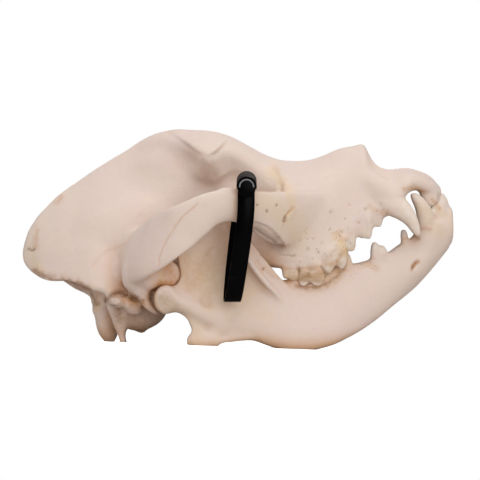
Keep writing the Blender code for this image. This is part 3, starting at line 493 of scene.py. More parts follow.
# Teeth. A crown is one or more tapered cusps, each (root, tip, long, wide): its middle line's two ends, and
# its size along and across the jaw where it leaves the bone.
UPPER_TEETH = (
    ((102, -2.9, 87), (106, -3, 77.4), 8.6, 4.8),
    ((101.6, -8, 87), (105.8, -8.2, 76.6), 8.8, 5.2),
    ((99.6, -12.2, 88), (103.2, -13, 76.4), 9.6, 5.8),
    ((71.2, -23, 74), (71.2, -23.2, 65.2), 6, 4.8),
    ((74, -22.8, 75), (74, -23, 64.8), 4.6, 4.4),
    ((68, -24.6, 71), (68.4, -25, 58.4), 5, 4.6),
    ((65, -25, 69), (65.4, -25.4, 58.8), 5.4, 4.8),
    ((62, -25.4, 68), (62, -25.8, 59.8), 5, 5),
    ((57.6, -27.4, 66), (59.4, -27.8, 52), 6.6, 5.6),
    ((54, -30.2, 60), (53.8, -30.8, 42.6), 6.8, 6),
    ((50.4, -31.8, 56), (50.2, -32.2, 44.6), 8, 6),
    ((46.8, -33.2, 54), (46.6, -33.8, 40.4), 7.6, 5.8),
    ((40.8, -34, 46), (40.8, -35, 36.6), 7.2, 6.8),
    ((40.8, -34.8, 41), (40.8, -35.8, 34), 7.6, 6.8),
    ((33.5, -34.2, 45.4), (33.5, -35.2, 36.6), 4.8, 6.4),
    ((33.5, -34.8, 41), (33.6, -36, 33.6), 5.4, 6.6),
    ((37.4, -29.4, 46), (37.4, -28.4, 37.6), 9, 8),
    ((27.7, -34.4, 45), (27.7, -34.8, 38.6), 4.6, 6),
    ((27.7, -34.6, 42), (27.7, -35, 36.6), 4.8, 6),
    ((24.2, -34, 45), (24.2, -34.2, 37.4), 4.2, 5.2),
    ((27, -30, 45.5), (27, -29.4, 41.4), 7.4, 8),
)
LOWER_TEETH = (
    ((110.8, -2.5, 72), (107.9, -2.7, 83.8), 6.8, 4.8),
    ((110, -6.9, 71), (107.2, -7.5, 82.8), 7, 5),
    ((107, -10.4, 70), (104.8, -10.6, 78), 9.6, 5.4),
    ((88.2, -15, 57), (87.4, -15.4, 64.2), 4.2, 4),
    ((76.4, -18.2, 47), (75.6, -18.6, 55.6), 6, 4.8),
    ((72.4, -19.4, 46), (71.8, -19.8, 57.4), 5.4, 4.6),
    ((56.6, -24, 42.5), (55.2, -24.2, 52.4), 7.4, 5.4),
    ((51, -25.2, 40), (50.4, -25.4, 48), 7, 4.8),
    ((45.2, -27, 36.5), (44.8, -27, 43), 9.6, 6.4),
    ((37.8, -30.4, 34.5), (37.4, -31, 36.6), 10, 7),
    ((29, -31.2, 33.6), (29, -31.6, 39), 9, 5.4),
    ((22.8, -31.4, 33.4), (22.8, -31.6, 37.2), 5, 4.4),
)
# The right canines as (x, y, z, half length, half width) from the root to the tip.
UPPER_CANINE = ((75, -20.6, 82.4, 6.4, 4.2), (81.6, -23, 77.2, 6.6, 4.8), (87.2, -24.8, 73.2, 5.2, 4.3),
                (91.2, -25.7, 68.5, 3.6, 3.3), (93.4, -26.3, 64, 2.5, 2.3), (94.5, -26.6, 61.2, 1.6, 1.5),
                (94.8, -26.6, 60, 0.8, 0.8))
LOWER_CANINE = ((100.4, -12.4, 60, 4.8, 4.8), (99.9, -14, 66, 4.7, 4.6), (98.9, -15.6, 71.8, 4.4, 4.2),
                (96.7, -17.1, 77, 3.6, 3.5), (93.8, -18.4, 80.8, 2.6, 2.5), (91.4, -19.4, 83, 1, 0.9))


def cusp(name, root, tip, long, wide):
    """One pointed cusp with rounded sides."""
    stations = []
    for t, size in ((0, 1), (0.5, 0.98), (0.8, 0.76), (0.95, 0.5), (1, 0.3)):
        stations.append((*Vector(root).lerp(Vector(tip), t), long / 2 * size, wide / 2 * size))
    return limb(name, stations, up=(1, 0, 0), sides=14, steps=2)


def crowns(cusps, canine):
    """Every cusp of the right side's teeth, as overlapping closed solids."""
    return [limb("canine", canine, up=(1, 0, 0), sides=24, steps=4),
            *(cusp(f"cusp_{n}", *one) for n, one in enumerate(cusps))]


# The lower jaw.


def jaw_body():
    """Tooth-bearing part of the right half, from the upright branch to the chin."""
    rings = []
    for x in np.linspace(-13, 114.6, 44):
        low, high = through(JAW_BOTTOM, x), through(JAW_TOP, x)
        y, thick, lean = through(JAW_MIDDLE, x), through(JAW_HALF_THICK, x), through(JAW_LEAN, x)
        middle, tall = (low + high) / 2, (high - low) / 2
        ring = []
        for a in np.arange(20) * math.pi / 10:
            up, out = math.cos(a), math.sin(a)
            flat = abs(out) ** 0.75 * math.copysign(1, out)
            ring.append((x, y + lean * up * 0.8 + thick * flat * (1 - 0.12 * up), middle + tall * up))
        rings.append(ring)
    return loft("jaw_body", rings)


def ramus():
    """Upright branch: a plate cut to its outline, toed in towards the chin."""
    outline = smooth_path([*RAMUS, RAMUS[0]], 2)[:-1]
    rings = []
    for side, inset in ((-1, 0.85), (-0.6, 0.0), (0.6, 0.0), (1, 0.85)):
        centre = outline.mean(0)
        inward = outline - centre
        shape = outline - inward / np.linalg.norm(inward, axis=1)[:, None] * inset
        ring = []
        for x, z in shape:
            ring.append((x, through(RAMUS_MIDDLE, x) + side * RAMUS_THICK / 2, z))
        rings.append(ring)
    return loft("ramus", rings)


def jaw_processes():
    """Hinge roller and neck, ridges round the chewing muscle's hollow, hooked corner, canine's bulge."""
    roller = limb("roller", ((-40.5, -33.5, 27, 5, 4), (-40, -42, 27, 6.8, 5.6),
                             (-38.8, -52, 27.2, 7.8, 6.1), (-38.6, -57, 27.2, 7.8, 6.2),
                             (-38.6, -58.8, 27.2, 6.6, 5)))
    neck = limb("roller_neck", ((-38, -53.5, 26.8, 6.6, 4.6), (-30.5, -52, 26, 6, 4.2),
                                (-22, -49.8, 24, 5.6, 3)))
    lower_ridge = limb("lower_ridge", ((-41, -57.4, 31, 2.4, 2.2), (-35.5, -56.8, 28.2, 3, 2.8),
                                       (-27, -53.4, 23.6, 3.6, 2.6), (-16, -50.4, 18, 4, 1.8),
                                       (-4, -47, 12.4, 3, 1.2)))
    front_ridge = limb("front_ridge", ((-14, -48.2, 75, 2, 1.8), (-5.5, -48, 62, 1.8, 2.2),
                                       (3.6, -47, 48.2, 1.7, 2.6), (11, -44.8, 38.6, 1.7, 2.8),
                                       (17.4, -41.8, 31.2, 1.4, 2.2), (23.4, -38, 24.6, 0.8, 1)))
    hook = limb("hook", ((-12, -47.5, 6, 4.2, 3.2), (-19, -49, 5.4, 4.6, 3.4), (-25, -49.5, 5.2, 3.2, 2.6),
                         (-28.6, -49.3, 5.6, 1.8, 1.6)))
    bulge = limb("canine_bulge", ((93, -11.5, 44, 7, 6), (98.6, -12, 54, 8, 6.6),
                                  (101.6, -12.4, 63, 7.4, 5.8), (103.4, -12.4, 69.4, 5.4, 4.6)),
                 up=(1, 0, 0))
    return [roller, neck, lower_ridge, front_ridge, hook, bulge]


def jaw_half():
    """Right half of the lower jaw with its teeth, cut flat where it meets the left one."""
    body = clay("jaw", [jaw_body(), ramus(), *jaw_processes()], JAW_FILLET)
    body = clay("toothed", [body, *crowns(LOWER_TEETH, LOWER_CANINE)], TOOTH_FILLET, FINE_VOXEL)
    hollow = ball("muscle_hollow", (-9, -58.6, 42), (18, 10, 22), (0, 28, -9))
    middle = box("left_of_middle", (60, -GAP / 2, -20), (130, 30, 110))
    body = combined(body, [hollow, middle], "DIFFERENCE")
    return largest(softened(remeshed(body, FINE_VOXEL), 2))


# The tag.


def tag_band():
    """The strip, bent flat along its path with its width lying fore and aft."""
    path = smooth_path(BAND, 2)
    rings = []
    for spot, run in zip(path, np.gradient(path, axis=0)):
        out = np.array((0, run[2], -run[1]))
        out *= BAND_HALF_THICK / np.linalg.norm(out)
        wide = np.array((BAND_HALF_WIDTH, 0, 0))
        ring = []
        for across, up in ((0.94, 1), (1, 0.4), (1, -0.4), (0.94, -1), (-0.94, -1), (-1, -0.4), (-1, 0.4),
                           (-0.94, 1)):
            ring.append(spot + wide * across + out * up)
        rings.append(ring)
    return loft("tag_band", rings)


def tag_clasp():
    """A little housing with a round top, over the strip's two ends."""
    x, y, z = CLASP_CENTRE
    middle = z + CLASP_TALL / 2
    shape = [(x - CLASP_HALF_WIDTH, z), (x + CLASP_HALF_WIDTH, z)]
    for a in np.linspace(0, math.pi, 13):
        height = z + CLASP_TALL - CLASP_HALF_WIDTH * (1 - math.sin(a))
        shape.append((x + CLASP_HALF_WIDTH * math.cos(a), height))
    rings = []
    for side, inset in ((-1, 0.9), (-0.78, 0.25), (-0.5, 0), (0.5, 0), (0.78, 0.25), (1, 0.9)):
        narrower, lower = 1 - inset / CLASP_HALF_WIDTH, 1 - inset * 2 / CLASP_TALL
        rings.append([(x + (px - x) * narrower, y + side * CLASP_HALF_DEEP, middle + (pz - middle) * lower)
                      for px, pz in shape])
    return loft("tag_clasp", rings)


# Carving: fine forms and marks, laid out in the picture and put on both sides of the skull.


def seen(points):
    """Where points show in the picture, in its pixels, with the left side seen as a mirror image."""
    shrink = PX * (1 - np.abs(points[:, 1]) / DRAWN_FAR)
    return np.column_stack((PICTURE / 2 + points[:, 0] / shrink,
                            PICTURE / 2 - (points[:, 2] - EYE_HEIGHT) / shrink))


# Large numbers that turn a cell's place into a random-looking one.
NOISE_PRIMES = np.array((73856093, 19349663, 83492791))
NOISE_SEED, NOISE_STIR = 2654435761, 1274126177


def lattice_noise(points, size, seed):
    """Smooth noise from -1 to 1 with features about size wide."""
    at = points / size
    cell = np.floor(at).astype(np.int64)
    t = at - cell
    t = t * t * (3 - 2 * t)
    total = np.zeros(len(points))
    for corner in np.ndindex(2, 2, 2):
        spot = cell + corner
        mixed = np.bitwise_xor.reduce(spot * NOISE_PRIMES, axis=1) ^ (seed * NOISE_SEED)
        mixed = (mixed ^ (mixed >> 13)) * NOISE_STIR
        value = ((mixed ^ (mixed >> 16)) & 0xFFFF) / 32767.5 - 1
        weight = np.prod(np.where(corner, t, 1 - t), axis=1)
        total += value * weight
    return total


# How far the skin has to turn outward to take a mark, and how often it is averaged to even it out.
FACING_FROM, FACING_SPAN, EVEN_TIMES = -0.12, 0.35, 45

# Where the rows of teeth end at the back and outside, where the jaw's upright branch is kept clear of them,
# and where the cheek teeth's own colour fades out.
ROW_BACK, ROW_OUTER, BRANCH_FRONT, BRANCH_INNER = 20, 44, 32, 33.5
CHEEK_TEETH_FRONT, CHEEK_TEETH_FADE = 66, 10


class Surface:
    """The points of a mesh while it is carved, stained and given painted shade."""

    def __init__(self, obj):
        self.obj = obj
        mesh = obj.data
        count = len(mesh.vertices)
        self.co = points_of(mesh) / MM
        self.normal = np.empty(count * 3)
        mesh.vertex_normals.foreach_get("vector", self.normal)
        self.normal = self.normal.reshape(-1, 3)
        ends = np.empty(len(mesh.edges) * 2, np.int64)
        mesh.edges.foreach_get("vertices", ends)
        self.ends = ends.reshape(-1, 2)
        self.spots = seen(self.co)
        self.depth = np.abs(self.co[:, 1])
        outward = self.normal[:, 1] * np.where(self.co[:, 1] < 0, -1, 1)
        self.facing = np.clip((outward - FACING_FROM) / FACING_SPAN, 0, 1)
        self.move = np.zeros(count)
        self.marks = {}
        self.even = None

    def spread(self, values, times):
        """values averaged with their neighbours' that many times."""
        a, b = self.ends.T
        count = len(self.co)
        near = np.bincount(a, minlength=count) + np.bincount(b, minlength=count)
        for _ in range(times):
            total = np.bincount(a, values[b], count) + np.bincount(b, values[a], count)
            values = 0.5 * values + 0.5 * total / np.maximum(near, 1)
        return values

    def soften(self, path, width, depth):
        """Evens out the skin along a path in the picture."""
        if self.even is None:
            self.even = np.column_stack([self.spread(self.co[:, axis], EVEN_TIMES) for axis in range(3)])
        pick, far, _, _ = self.close_to(smooth_path(path, 4), width * 2, depth)
        self.co[pick] += (self.even[pick] - self.co[pick]) * np.exp(-(far / width) ** 2)[:, None]

    def close_to(self, path, reach, depth):
        """The points within reach of a path in the picture: their places in the list, distances, sides and
        shares of the way along."""
        path = np.array(path, float).reshape(-1, 2)
        low, high = path.min(0) - reach, path.max(0) + reach
        inside = ((self.spots > low) & (self.spots < high)).all(1) & (self.facing > 0)
        inside &= (self.depth >= depth[0]) & (self.depth <= depth[1])
        pick = np.flatnonzero(inside)
        spots = self.spots[pick]
        if len(path) == 1:
            return pick, np.hypot(*(spots - path[0]).T), np.ones(len(pick)), np.full(len(pick), 0.5)
        steps = np.hypot(*np.diff(path, axis=0).T)
        starts = np.concatenate(([0], np.cumsum(steps)))
        best = np.full(len(pick), 1e9)
        side, place = np.ones(len(pick)), np.zeros(len(pick))
        for a, b, length, start in zip(path, path[1:], steps, starts):
            run = (b - a) / length
            t = np.clip((spots - a) @ run, 0, length)
            off = spots - a - t[:, None] * run
            far = np.hypot(*off.T)
            better = far < best
            best[better] = far[better]
            turn = run[0] * off[:, 1] - run[1] * off[:, 0]
            side[better] = np.where(turn < 0, -1, 1)[better]
            place[better] = ((start + t) / starts[-1])[better]
        return pick, best, side, place

    def carve(self, path, width, height, kind, depth, fade=0.2):
        """Raises the skin along a path in the picture, or lowers it for a height below 0. A ledge raises the
        left of the path's run and lowers its right."""
        if len(path) > 2:
            path = smooth_path(path, 4)
        pick, far, side, place = self.close_to(path, width * 3, depth)
        share = np.exp(-(far / width) ** 2)
        if kind == "ledge":
            share = -np.tanh(side * far / (0.22 * width)) * np.exp(-(far / width) ** 1.4)
        if len(path) > 1 and fade:
            share *= np.clip(np.minimum(place, 1 - place) / fade, 0, 1) ** 0.7
        self.move[pick] += height * share * self.facing[pick]

    def stain_and_shade(self, name, path, width, strength, depth, rough=0.5):
        """Marks the skin along a path in the picture with one of the named colours, ragged at its edge; some
        are stains, some are painted shade.
        """
        if len(path) > 2:
            path = smooth_path(path, 4)
        pick, far, _, _ = self.close_to(path, width * 2.6, depth)
        ragged = 1 + rough * lattice_noise(self.co[pick], 2.2, 7)
        mark = self.marks.setdefault(name, np.zeros(len(self.co)))
        share = strength * np.exp(-(far / (width * ragged)) ** 2) * np.minimum(self.facing[pick] * 3, 1)
        mark[pick] = np.maximum(mark[pick], share)

    def crown(self, edge, way):
        """Marks the teeth, which stand clear of the bone's edge line, way telling up or down from it."""
        x, depth = self.co[:, 0], self.depth
        clear = (self.co[:, 2] - through(edge, x)) * way
        among = (x > ROW_BACK) & (depth < ROW_OUTER)
        among &= (depth < BRANCH_INNER) | (x > BRANCH_FRONT) | (way < 0)
        self.marks["enamel"] = np.clip((clear - 0.6) / 2.4, 0, 1) * among
        cheek = among * np.clip((CHEEK_TEETH_FRONT - x) / CHEEK_TEETH_FADE, 0, 1)
        self.marks["neck"] = 0.45 * np.exp(-((clear - 0.8) / 2.0) ** 2) * cheek
        worn = np.clip((clear - 2) / 5, 0, 1) * cheek
        self.marks["worn"] = worn * np.clip(0.5 + lattice_noise(self.co, 2.4, 5), 0, 1) * 0.6

    def finish(self):
        """Moves the points, adds a little natural unevenness and keeps the marks with the mesh."""
        wavy = (lattice_noise(self.co, 9, 1) + lattice_noise(self.co, 3.1, 2) * 0.4) * UNEVENNESS
        self.co += self.normal * (self.move + wavy)[:, None]
        smooth = np.column_stack([self.spread(self.co[:, axis], 14) for axis in range(3)])
        # The hollow mark: how far a point lies below its smoothed neighbours, below 0 on ridges. The bone
        # material uses it to paint shade and dirt into the hollows and a highlight onto the ridges.
        hollow = ((smooth - self.co) * self.normal).sum(1)
        self.marks["hollow"] = self.spread(np.clip(hollow / 0.5, -1, 1), 2)
        mesh = self.obj.data
        put_points(mesh, self.co * MM)
        for name, values in self.marks.items():
            layer = mesh.attributes.new(name, "FLOAT", "POINT")
            layer.data.foreach_set("value", values.astype(np.float32))
        return self.obj


# Materials and their colours.
BONE_PALE, BONE_PINK = (0.80, 0.66, 0.57), (0.79, 0.63, 0.57)
BONE_YELLOW, BONE_CHALK, BONE_SPECK = (0.82, 0.67, 0.52), (0.84, 0.73, 0.67), (0.66, 0.50, 0.40)
# Bone colours. The warm and deep browns are dirt with painted shade in crevices and hollows; the edge colour
# is a painted highlight.
CREVICE_DIRT_AND_SHADE, HOLLOW_DIRT_AND_SHADE, EDGE_HIGHLIGHT = (0.74, 0.47, 0.29), (0.56, 0.34, 0.22), (0.84, 0.73, 0.66)
# Colours of the marks. The grey-brown first one is painted shade, laid where faces turn down or sit deep.
# Yellow, orange and brown are the colours of stains, and some orange and brown marks below are painted shade
# too.
STAINS_AND_SHADE = {"painted_shade": (0.46, 0.34, 0.28), "yellow": (0.80, 0.60, 0.36), "orange": (0.62, 0.32, 0.13),
          "brown": (0.24, 0.12, 0.06)}
TOOTH_PALE, TOOTH_IVORY, TOOTH_ROOT = (0.84, 0.73, 0.65), (0.80, 0.66, 0.54), (0.60, 0.38, 0.20)
# Plastic colours. The ring's pale grey is a painted highlight on the housing's front.
BAND_BLACK, CLASP_BLACK, RING_HIGHLIGHT_GREY = (0.0012, 0.0012, 0.0018), (0.055, 0.046, 0.043), (0.20, 0.20, 0.21)
# Patches in the bone's colour: their noise's size, detail and roughness, the values where a patch starts and
# is full, how much it covers, and its colour.
BONE_PATCHES = ((17, 5, 0.6, 0.5, 0.8, 0.5, BONE_YELLOW), (2.6, 6, 0.65, 0.5, 0.85, 0.5, BONE_CHALK),
                (1.3, 5, 0.7, 0.52, 0.8, 0.4, BONE_SPECK))


class Paint:
    """A few short ways to add and join shader nodes."""

    def __init__(self, name):
        self.material = bpy.data.materials.new(name)
        self.material.use_nodes = True
        self.tree = self.material.node_tree
        self.shader = self.tree.nodes["Principled BSDF"]
        self.where = self.tree.nodes.new("ShaderNodeTexCoord").outputs["Object"]

    def link(self, source, target):
        if isinstance(source, (int, float, tuple)):
            target.default_value = source
        else:
            self.tree.links.new(source, target)

    def shaded(self, inputs):
        """Sets the shader's inputs, each to a value or to another node's output."""
        for name, source in inputs.items():
            self.link(source, self.shader.inputs[name])

    def mark(self, name):
        node = self.tree.nodes.new("ShaderNodeAttribute")
        node.attribute_name = name
        return node.outputs["Fac"]

    def noise(self, size, detail=4, rough=0.55, stretch=None):
        """Noise with features about size millimetres wide."""
        node = self.tree.nodes.new("ShaderNodeTexNoise")
        node.inputs["Scale"].default_value = 1 / (size * MM)
        node.inputs["Detail"].default_value = detail
        node.inputs["Roughness"].default_value = rough
        where = self.where
        if stretch:
            mapping = self.tree.nodes.new("ShaderNodeMapping")
            mapping.inputs["Scale"].default_value = stretch
            self.link(where, mapping.inputs["Vector"])
            where = mapping.outputs["Vector"]
        self.link(where, node.inputs["Vector"])
        return node.outputs["Fac"]

    def cells(self, size):
        """Distance from scattered dots about size millimetres apart."""
        node = self.tree.nodes.new("ShaderNodeTexVoronoi")
        node.inputs["Scale"].default_value = 1 / (size * MM)
        self.link(self.where, node.inputs["Vector"])
        return node.outputs["Distance"]

    def ranged(self, value, low, high, to_low=0.0, to_high=1.0, smooth=True):
        node = self.tree.nodes.new("ShaderNodeMapRange")
        node.interpolation_type = "SMOOTHSTEP" if smooth else "LINEAR"
        for key, number in (("From Min", low), ("From Max", high), ("To Min", to_low), ("To Max", to_high)):
            node.inputs[key].default_value = number
        self.link(value, node.inputs["Value"])
        return node.outputs["Result"]

    def math(self, how, a, b=0.0):
        node = self.tree.nodes.new("ShaderNodeMath")
        node.operation = how
        self.link(a, node.inputs[0])
        self.link(b, node.inputs[1])
        return node.outputs[0]

    def mixed(self, share, a, b):
        """Colour a turned into b by the share."""
        node = self.tree.nodes.new("ShaderNodeMix")
        node.data_type = "RGBA"
        self.link(share, node.inputs[0])
        for colour, socket in ((a, node.inputs[6]), (b, node.inputs[7])):
            self.link((*colour, 1.0) if isinstance(colour, tuple) else colour, socket)
        return node.outputs[2]

    def open_air(self, reach):
        """How open the spot is, from 0 deep in a crevice to 1, judged within reach millimetres."""
        node = self.tree.nodes.new("ShaderNodeAmbientOcclusion")
        node.samples = 6
        node.inputs["Distance"].default_value = reach * MM
        return node.outputs["AO"]

    def bumped(self, height, strength, depth, under=None):
        node = self.tree.nodes.new("ShaderNodeBump")
        node.inputs["Strength"].default_value = strength
        node.inputs["Distance"].default_value = depth * MM
        self.link(height, node.inputs["Height"])
        if under:
            self.link(under, node.inputs["Normal"])
        return node.outputs["Normal"]


def bone_material(name, seed):
    """Dry museum bone: pale, faintly yellow and pink in patches, with fine pores; dirt and painted shade in
    its hollows, a painted highlight on its edges.
    """
    paint = Paint(name)
    base = paint.mixed(paint.ranged(paint.noise(34 + seed, 3), 0.35, 0.68), BONE_PALE, BONE_PINK)
    for size, detail, rough, low, high, most, tint in BONE_PATCHES:
        base = paint.mixed(paint.ranged(paint.noise(size, detail, rough), low, high, 0.0, most), base, tint)
    # Painted shade with dirt: the bone turns a warmer, darker brown where the ambient occlusion finds it
    # closed in, within 16 mm.
    base = paint.mixed(paint.ranged(paint.open_air(16), 0.9, 0.3, 0.0, 0.9), base, CREVICE_DIRT_AND_SHADE)
    hollow = paint.mark("hollow")
    enamel = paint.mark("enamel")
    tooth = paint.mixed(paint.ranged(paint.noise(4.5, 4), 0.35, 0.7), TOOTH_PALE, TOOTH_IVORY)
    base = paint.mixed(enamel, base, tooth)
    base = paint.mixed(paint.math("MULTIPLY", paint.mark("neck"),
                                  paint.ranged(paint.noise(1.4, 4), 0.3, 0.7, 0.3, 1.0)), base, TOOTH_ROOT)
    base = paint.mixed(paint.mark("worn"), base, TOOTH_ROOT)
    # Painted shade with dirt in the hollows.
    base = paint.mixed(paint.ranged(hollow, 0.12, 0.9, 0.0, 0.75), base, HOLLOW_DIRT_AND_SHADE)
    # Painted highlight: the bone is lighter on its ridges and edges.
    base = paint.mixed(paint.ranged(hollow, -0.15, -0.8, 0.0, 0.45), base, EDGE_HIGHLIGHT)
    ragged = paint.ranged(paint.noise(1.6, 4, 0.6), 0.3, 0.7, 0.55, 1.1)
    for tint, colour in STAINS_AND_SHADE.items():
        base = paint.mixed(paint.math("MULTIPLY", paint.mark(tint), ragged), base, colour)
    porous = paint.ranged(paint.mark("porous"), 0.0, 1.0, 0.07, 0.27, smooth=False)
    dots = paint.math("LESS_THAN", paint.cells(1.5), porous)
    sparse = paint.math("GREATER_THAN", paint.noise(5.5, 2), 0.52)
    pores = paint.math("MULTIPLY", dots, sparse)
    base = paint.mixed(paint.math("MULTIPLY", pores, 0.5), base, STAINS_AND_SHADE["brown"])
    rough = paint.ranged(paint.noise(6, 4), 0.3, 0.7, 0.46, 0.62)
    smoother = paint.ranged(enamel, 0.0, 1.0, 0.0, 0.2)
    grain = paint.bumped(paint.noise(0.7, 5, 0.6), 0.5, 0.2)
    fibres = paint.bumped(paint.noise(1.2, 3, 0.5, (0.25, 1.0, 1.0)), 0.4, 0.2, grain)
    pitted = paint.bumped(paint.math("SUBTRACT", 1.0, pores), 0.4, 0.12, fibres)
    paint.shaded({
        "Base Color": base,
        "Roughness": paint.math("SUBTRACT", rough, smoother),
        "Normal": pitted,
        "Subsurface Weight": 0.12,
        "Subsurface Radius": (0.0022, 0.0013, 0.0008),
        "Subsurface Scale": 1.0,
        "Specular IOR Level": 0.35,
    })
    return paint.material


def plastic_material(name, colour, rough, shine):
    """Moulded plastic with a faint grain and rubbed, slightly lighter scuffs."""
    paint = Paint(name)
    scuffs = paint.ranged(paint.noise(7, 6, 0.7, (0.3, 1.0, 1.0)), 0.58, 0.72)
    lighter = tuple(c * 1.8 + 0.004 for c in colour)
    paint.shaded({
        "Base Color": paint.mixed(scuffs, colour, lighter),
        "Roughness": paint.ranged(scuffs, 0.0, 1.0, rough, rough + 0.16, smooth=False),
        "Normal": paint.bumped(paint.noise(0.35, 3), 0.12, 0.05),
        "Specular IOR Level": shine,
    })
    return paint.material


# Parting, resting and naming.


def rest_matrix():
    """From the level picture's frame to how the skull lies on the table, in metres."""
    about = Matrix.Translation((REST_POINT_X * MM, 0, 0))
    return (Matrix.Translation(Vector(REST_SHIFT) * MM) @ about
            @ Matrix.Rotation(-REST_TIP, 4, "Y") @ about.inverted())


def parted(obj, name, planes):
    """The part of obj ahead of every (point, direction) plane, closed with flat caps."""
    bm = bmesh.new()
    bm.from_mesh(obj.data)
    for point, towards in planes:
        whole = bm.verts[:] + bm.edges[:] + bm.faces[:]
        cut = bmesh.ops.bisect_plane(bm, geom=whole, plane_co=Vector(point) * MM, plane_no=towards,
                                     clear_inner=True)
        rim = [e for e in cut["geom_cut"] if isinstance(e, bmesh.types.BMEdge)]
        bmesh.ops.triangle_fill(bm, edges=rim, use_beauty=False, use_dissolve=False, normal=towards)
        for edge in rim:
            edge.smooth = False
    mesh = bpy.data.meshes.new(name)
    bm.to_mesh(mesh)
    bm.free()
    return largest(new_object(name, mesh))


def cranium_parts(whole):
    """The cranium parted into braincase, face and the two cheekbone arches."""
    lean = Vector((math.cos(FACE_CUT_LEAN), 0, -math.sin(FACE_CUT_LEAN)))
    front = (FACE_CUT_X, 0, FACE_CUT_Z)
    parts = {}
    sides = {}
    for side, sign in (("right", -1), ("left", 1)):
        outward = Vector((0, sign, -ARCH_CUT_SLOPE)).normalized()
        sides[side] = ((0, sign * ARCH_CUT_Y, ARCH_CUT_Z), outward)
        parts["cheek_arch_" + side] = parted(whole, "arch", [sides[side]])
    inward = [(point, -outward) for point, outward in sides.values()]
    parts["braincase"] = parted(whole, "back", [*inward, (front, -lean)])
    parts["upper_jaw"] = parted(whole, "face", [*inward, (front, lean)])
    remove([whole])
    return parts


def spread_out(obj):
    """What lies beside the middle plane is moved out from the layout's middle in proportion."""
    co = points_of(obj.data)
    more = 1 + np.abs(co[:, 1]) / (SPREAD * MM)
    co[:, 0] *= more
    co[:, 2] = LEVEL * MM + (co[:, 2] - LEVEL * MM) * more
    put_points(obj.data, co)


def placed(obj, name, material, slot, *nodes):
    """obj laid as the skull rests, named, smooth and with its material, in place of the CAD nodes."""
    spread_out(obj)
    obj.data.transform(rest_matrix())
    co = points_of(obj.data)
    co[:, 2] = np.maximum(co[:, 2], 0)
    put_points(obj.data, co)
    obj.data.polygons.foreach_set("use_smooth", [True] * len(obj.data.polygons))
    obj.data.materials.clear()
    obj.data.materials.append(material)
    obj.name = obj.data.name = name
    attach(obj, "root")
    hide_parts(*nodes)


# Lines and spots of the skull's right side, in the picture's pixels.
TEMPORAL_LINE = ((166, 131), (177, 137), (187, 144), (197, 151), (208, 156.5))
PROCESS_FRONT = ((207, 157), (216, 151), (222, 145), (228, 140))
SOCKET_TOP = ((225, 141), (245, 156), (262, 168), (274, 179), (281, 188))
SOCKET_FLOOR = ((248, 192.5), (262, 192), (272, 192.5), (281, 190))
TEAR_PIT = ((281, 185), (280.5, 189))
SOCKET_ARC = ((213, 171), (226, 167), (244, 169), (258, 177))
SOCKET_PIT = ((203, 172), (214, 175))
CHEEK_FRONT = ((302, 190), (304, 205), (301, 222), (292, 238))
FACE_SLIT = ((293.5, 207), (289.5, 212.5), (286, 216.5), (283.6, 221.5))
CHEEK_UNDERSIDE = ((250, 221), (260, 223), (270, 228), (281.7, 240), (286, 249))
CHEEK_CRACK = ((280.5, 254), (285, 255.6), (288, 254.9), (291, 256.1), (295, 255.4))
CHEEK_FACET = ((252, 227), (262, 232), (271, 238.5), (279, 247))
FACET_LOW = ((250, 233), (258, 238), (266, 243.5), (274, 249))
CHEEK_SUTURE = ((198, 203), (193, 208), (182.5, 217), (173.6, 228.6), (164.6, 243.8), (159.3, 257),
                (158.4, 266))
BACK_CREASE = ((28.5, 249), (31, 250.5), (35, 249))
BACK_EDGE_ORANGE = ((38, 230), (36, 238), (36, 247))
NECK_EDGE = ((34, 270), (46, 277), (57, 280), (66, 281), (80, 285), (88, 289), (93, 297), (97, 304))
TEMPLE_SUTURE = ((125, 243), (115, 249), (105, 251.7), (99, 258), (93, 265))
VAULT_SUTURE = ((119, 204), (124, 214), (131, 220), (139, 215), (146, 208), (160, 202))
JUGA = (((340, 236), (341, 262), 5, 0.8), ((312, 254), (313, 270), 6, 0.7),
        ((327, 248), (328, 266), 4.5, 0.5), ((299, 258), (300, 270), 5, 0.5),
        ((357, 224), (358, 238), 4, 0.5), ((368, 212), (369, 228), 4, 0.4))
PITS = ((300, 241), (313, 239), (318, 252), (326, 256), (336, 245), (312, 259), (330, 229), (349, 205),
        (331, 212), (345, 219), (359, 223), (366, 209), (371, 223), (322, 243), (342, 232), (381, 204),
        (359, 131), (308, 249), (300, 262))
CHEEK_PITS = ((257.3, 205), (267, 211.3), (277, 205.5))
JAW_PITS = ((261.5, 255), (263.5, 269), (228, 268), (281, 258))
FOSSA_RIDGE = ((236, 240), (243, 251), (250, 263), (262, 280), (272, 290), (285, 303))
FOSSA_RIM = ((182.8, 296.6), (195.8, 305), (208.9, 307.3), (224, 306.5), (262, 305.8))
ROLLER_RIM = ((157.5, 292), (157.5, 302), (163, 310.5), (171.5, 313))
LOBE_EDGE = ((176, 261), (180, 269), (181, 276), (177, 283))
MASTOID_ARC = ((106, 301), (109, 296.5), (115.8, 293), (124, 293), (130, 297), (137, 299.5))
MASTOID_CREASE = ((111, 305), (115, 306.5), (120, 305))
ROLLER_EDGE = ((156.5, 289), (154.5, 295), (154.5, 302), (157.5, 308), (162.5, 313))
PREMOLAR_PAINTED_SHADE = ((369, 207), (378, 211), (387, 213))
CHIN_HOLE = ((412.2, 270), (414, 265.5), (418.5, 260.8))
UPPER_NECKS = ((281, 267.5), (290, 268.5), (299, 269), (310, 268), (318, 269), (327, 264), (336, 262),
               (345, 250))
LOWER_NECKS = ((296, 285.5), (306, 287), (318, 286.5), (328, 283), (338, 275), (346, 266))
MOLAR_GAPS = (((299, 268), (298.5, 283)), ((309, 273), (309.5, 285)), ((321, 266), (325.5, 273),
              (326, 280), (320, 286)))

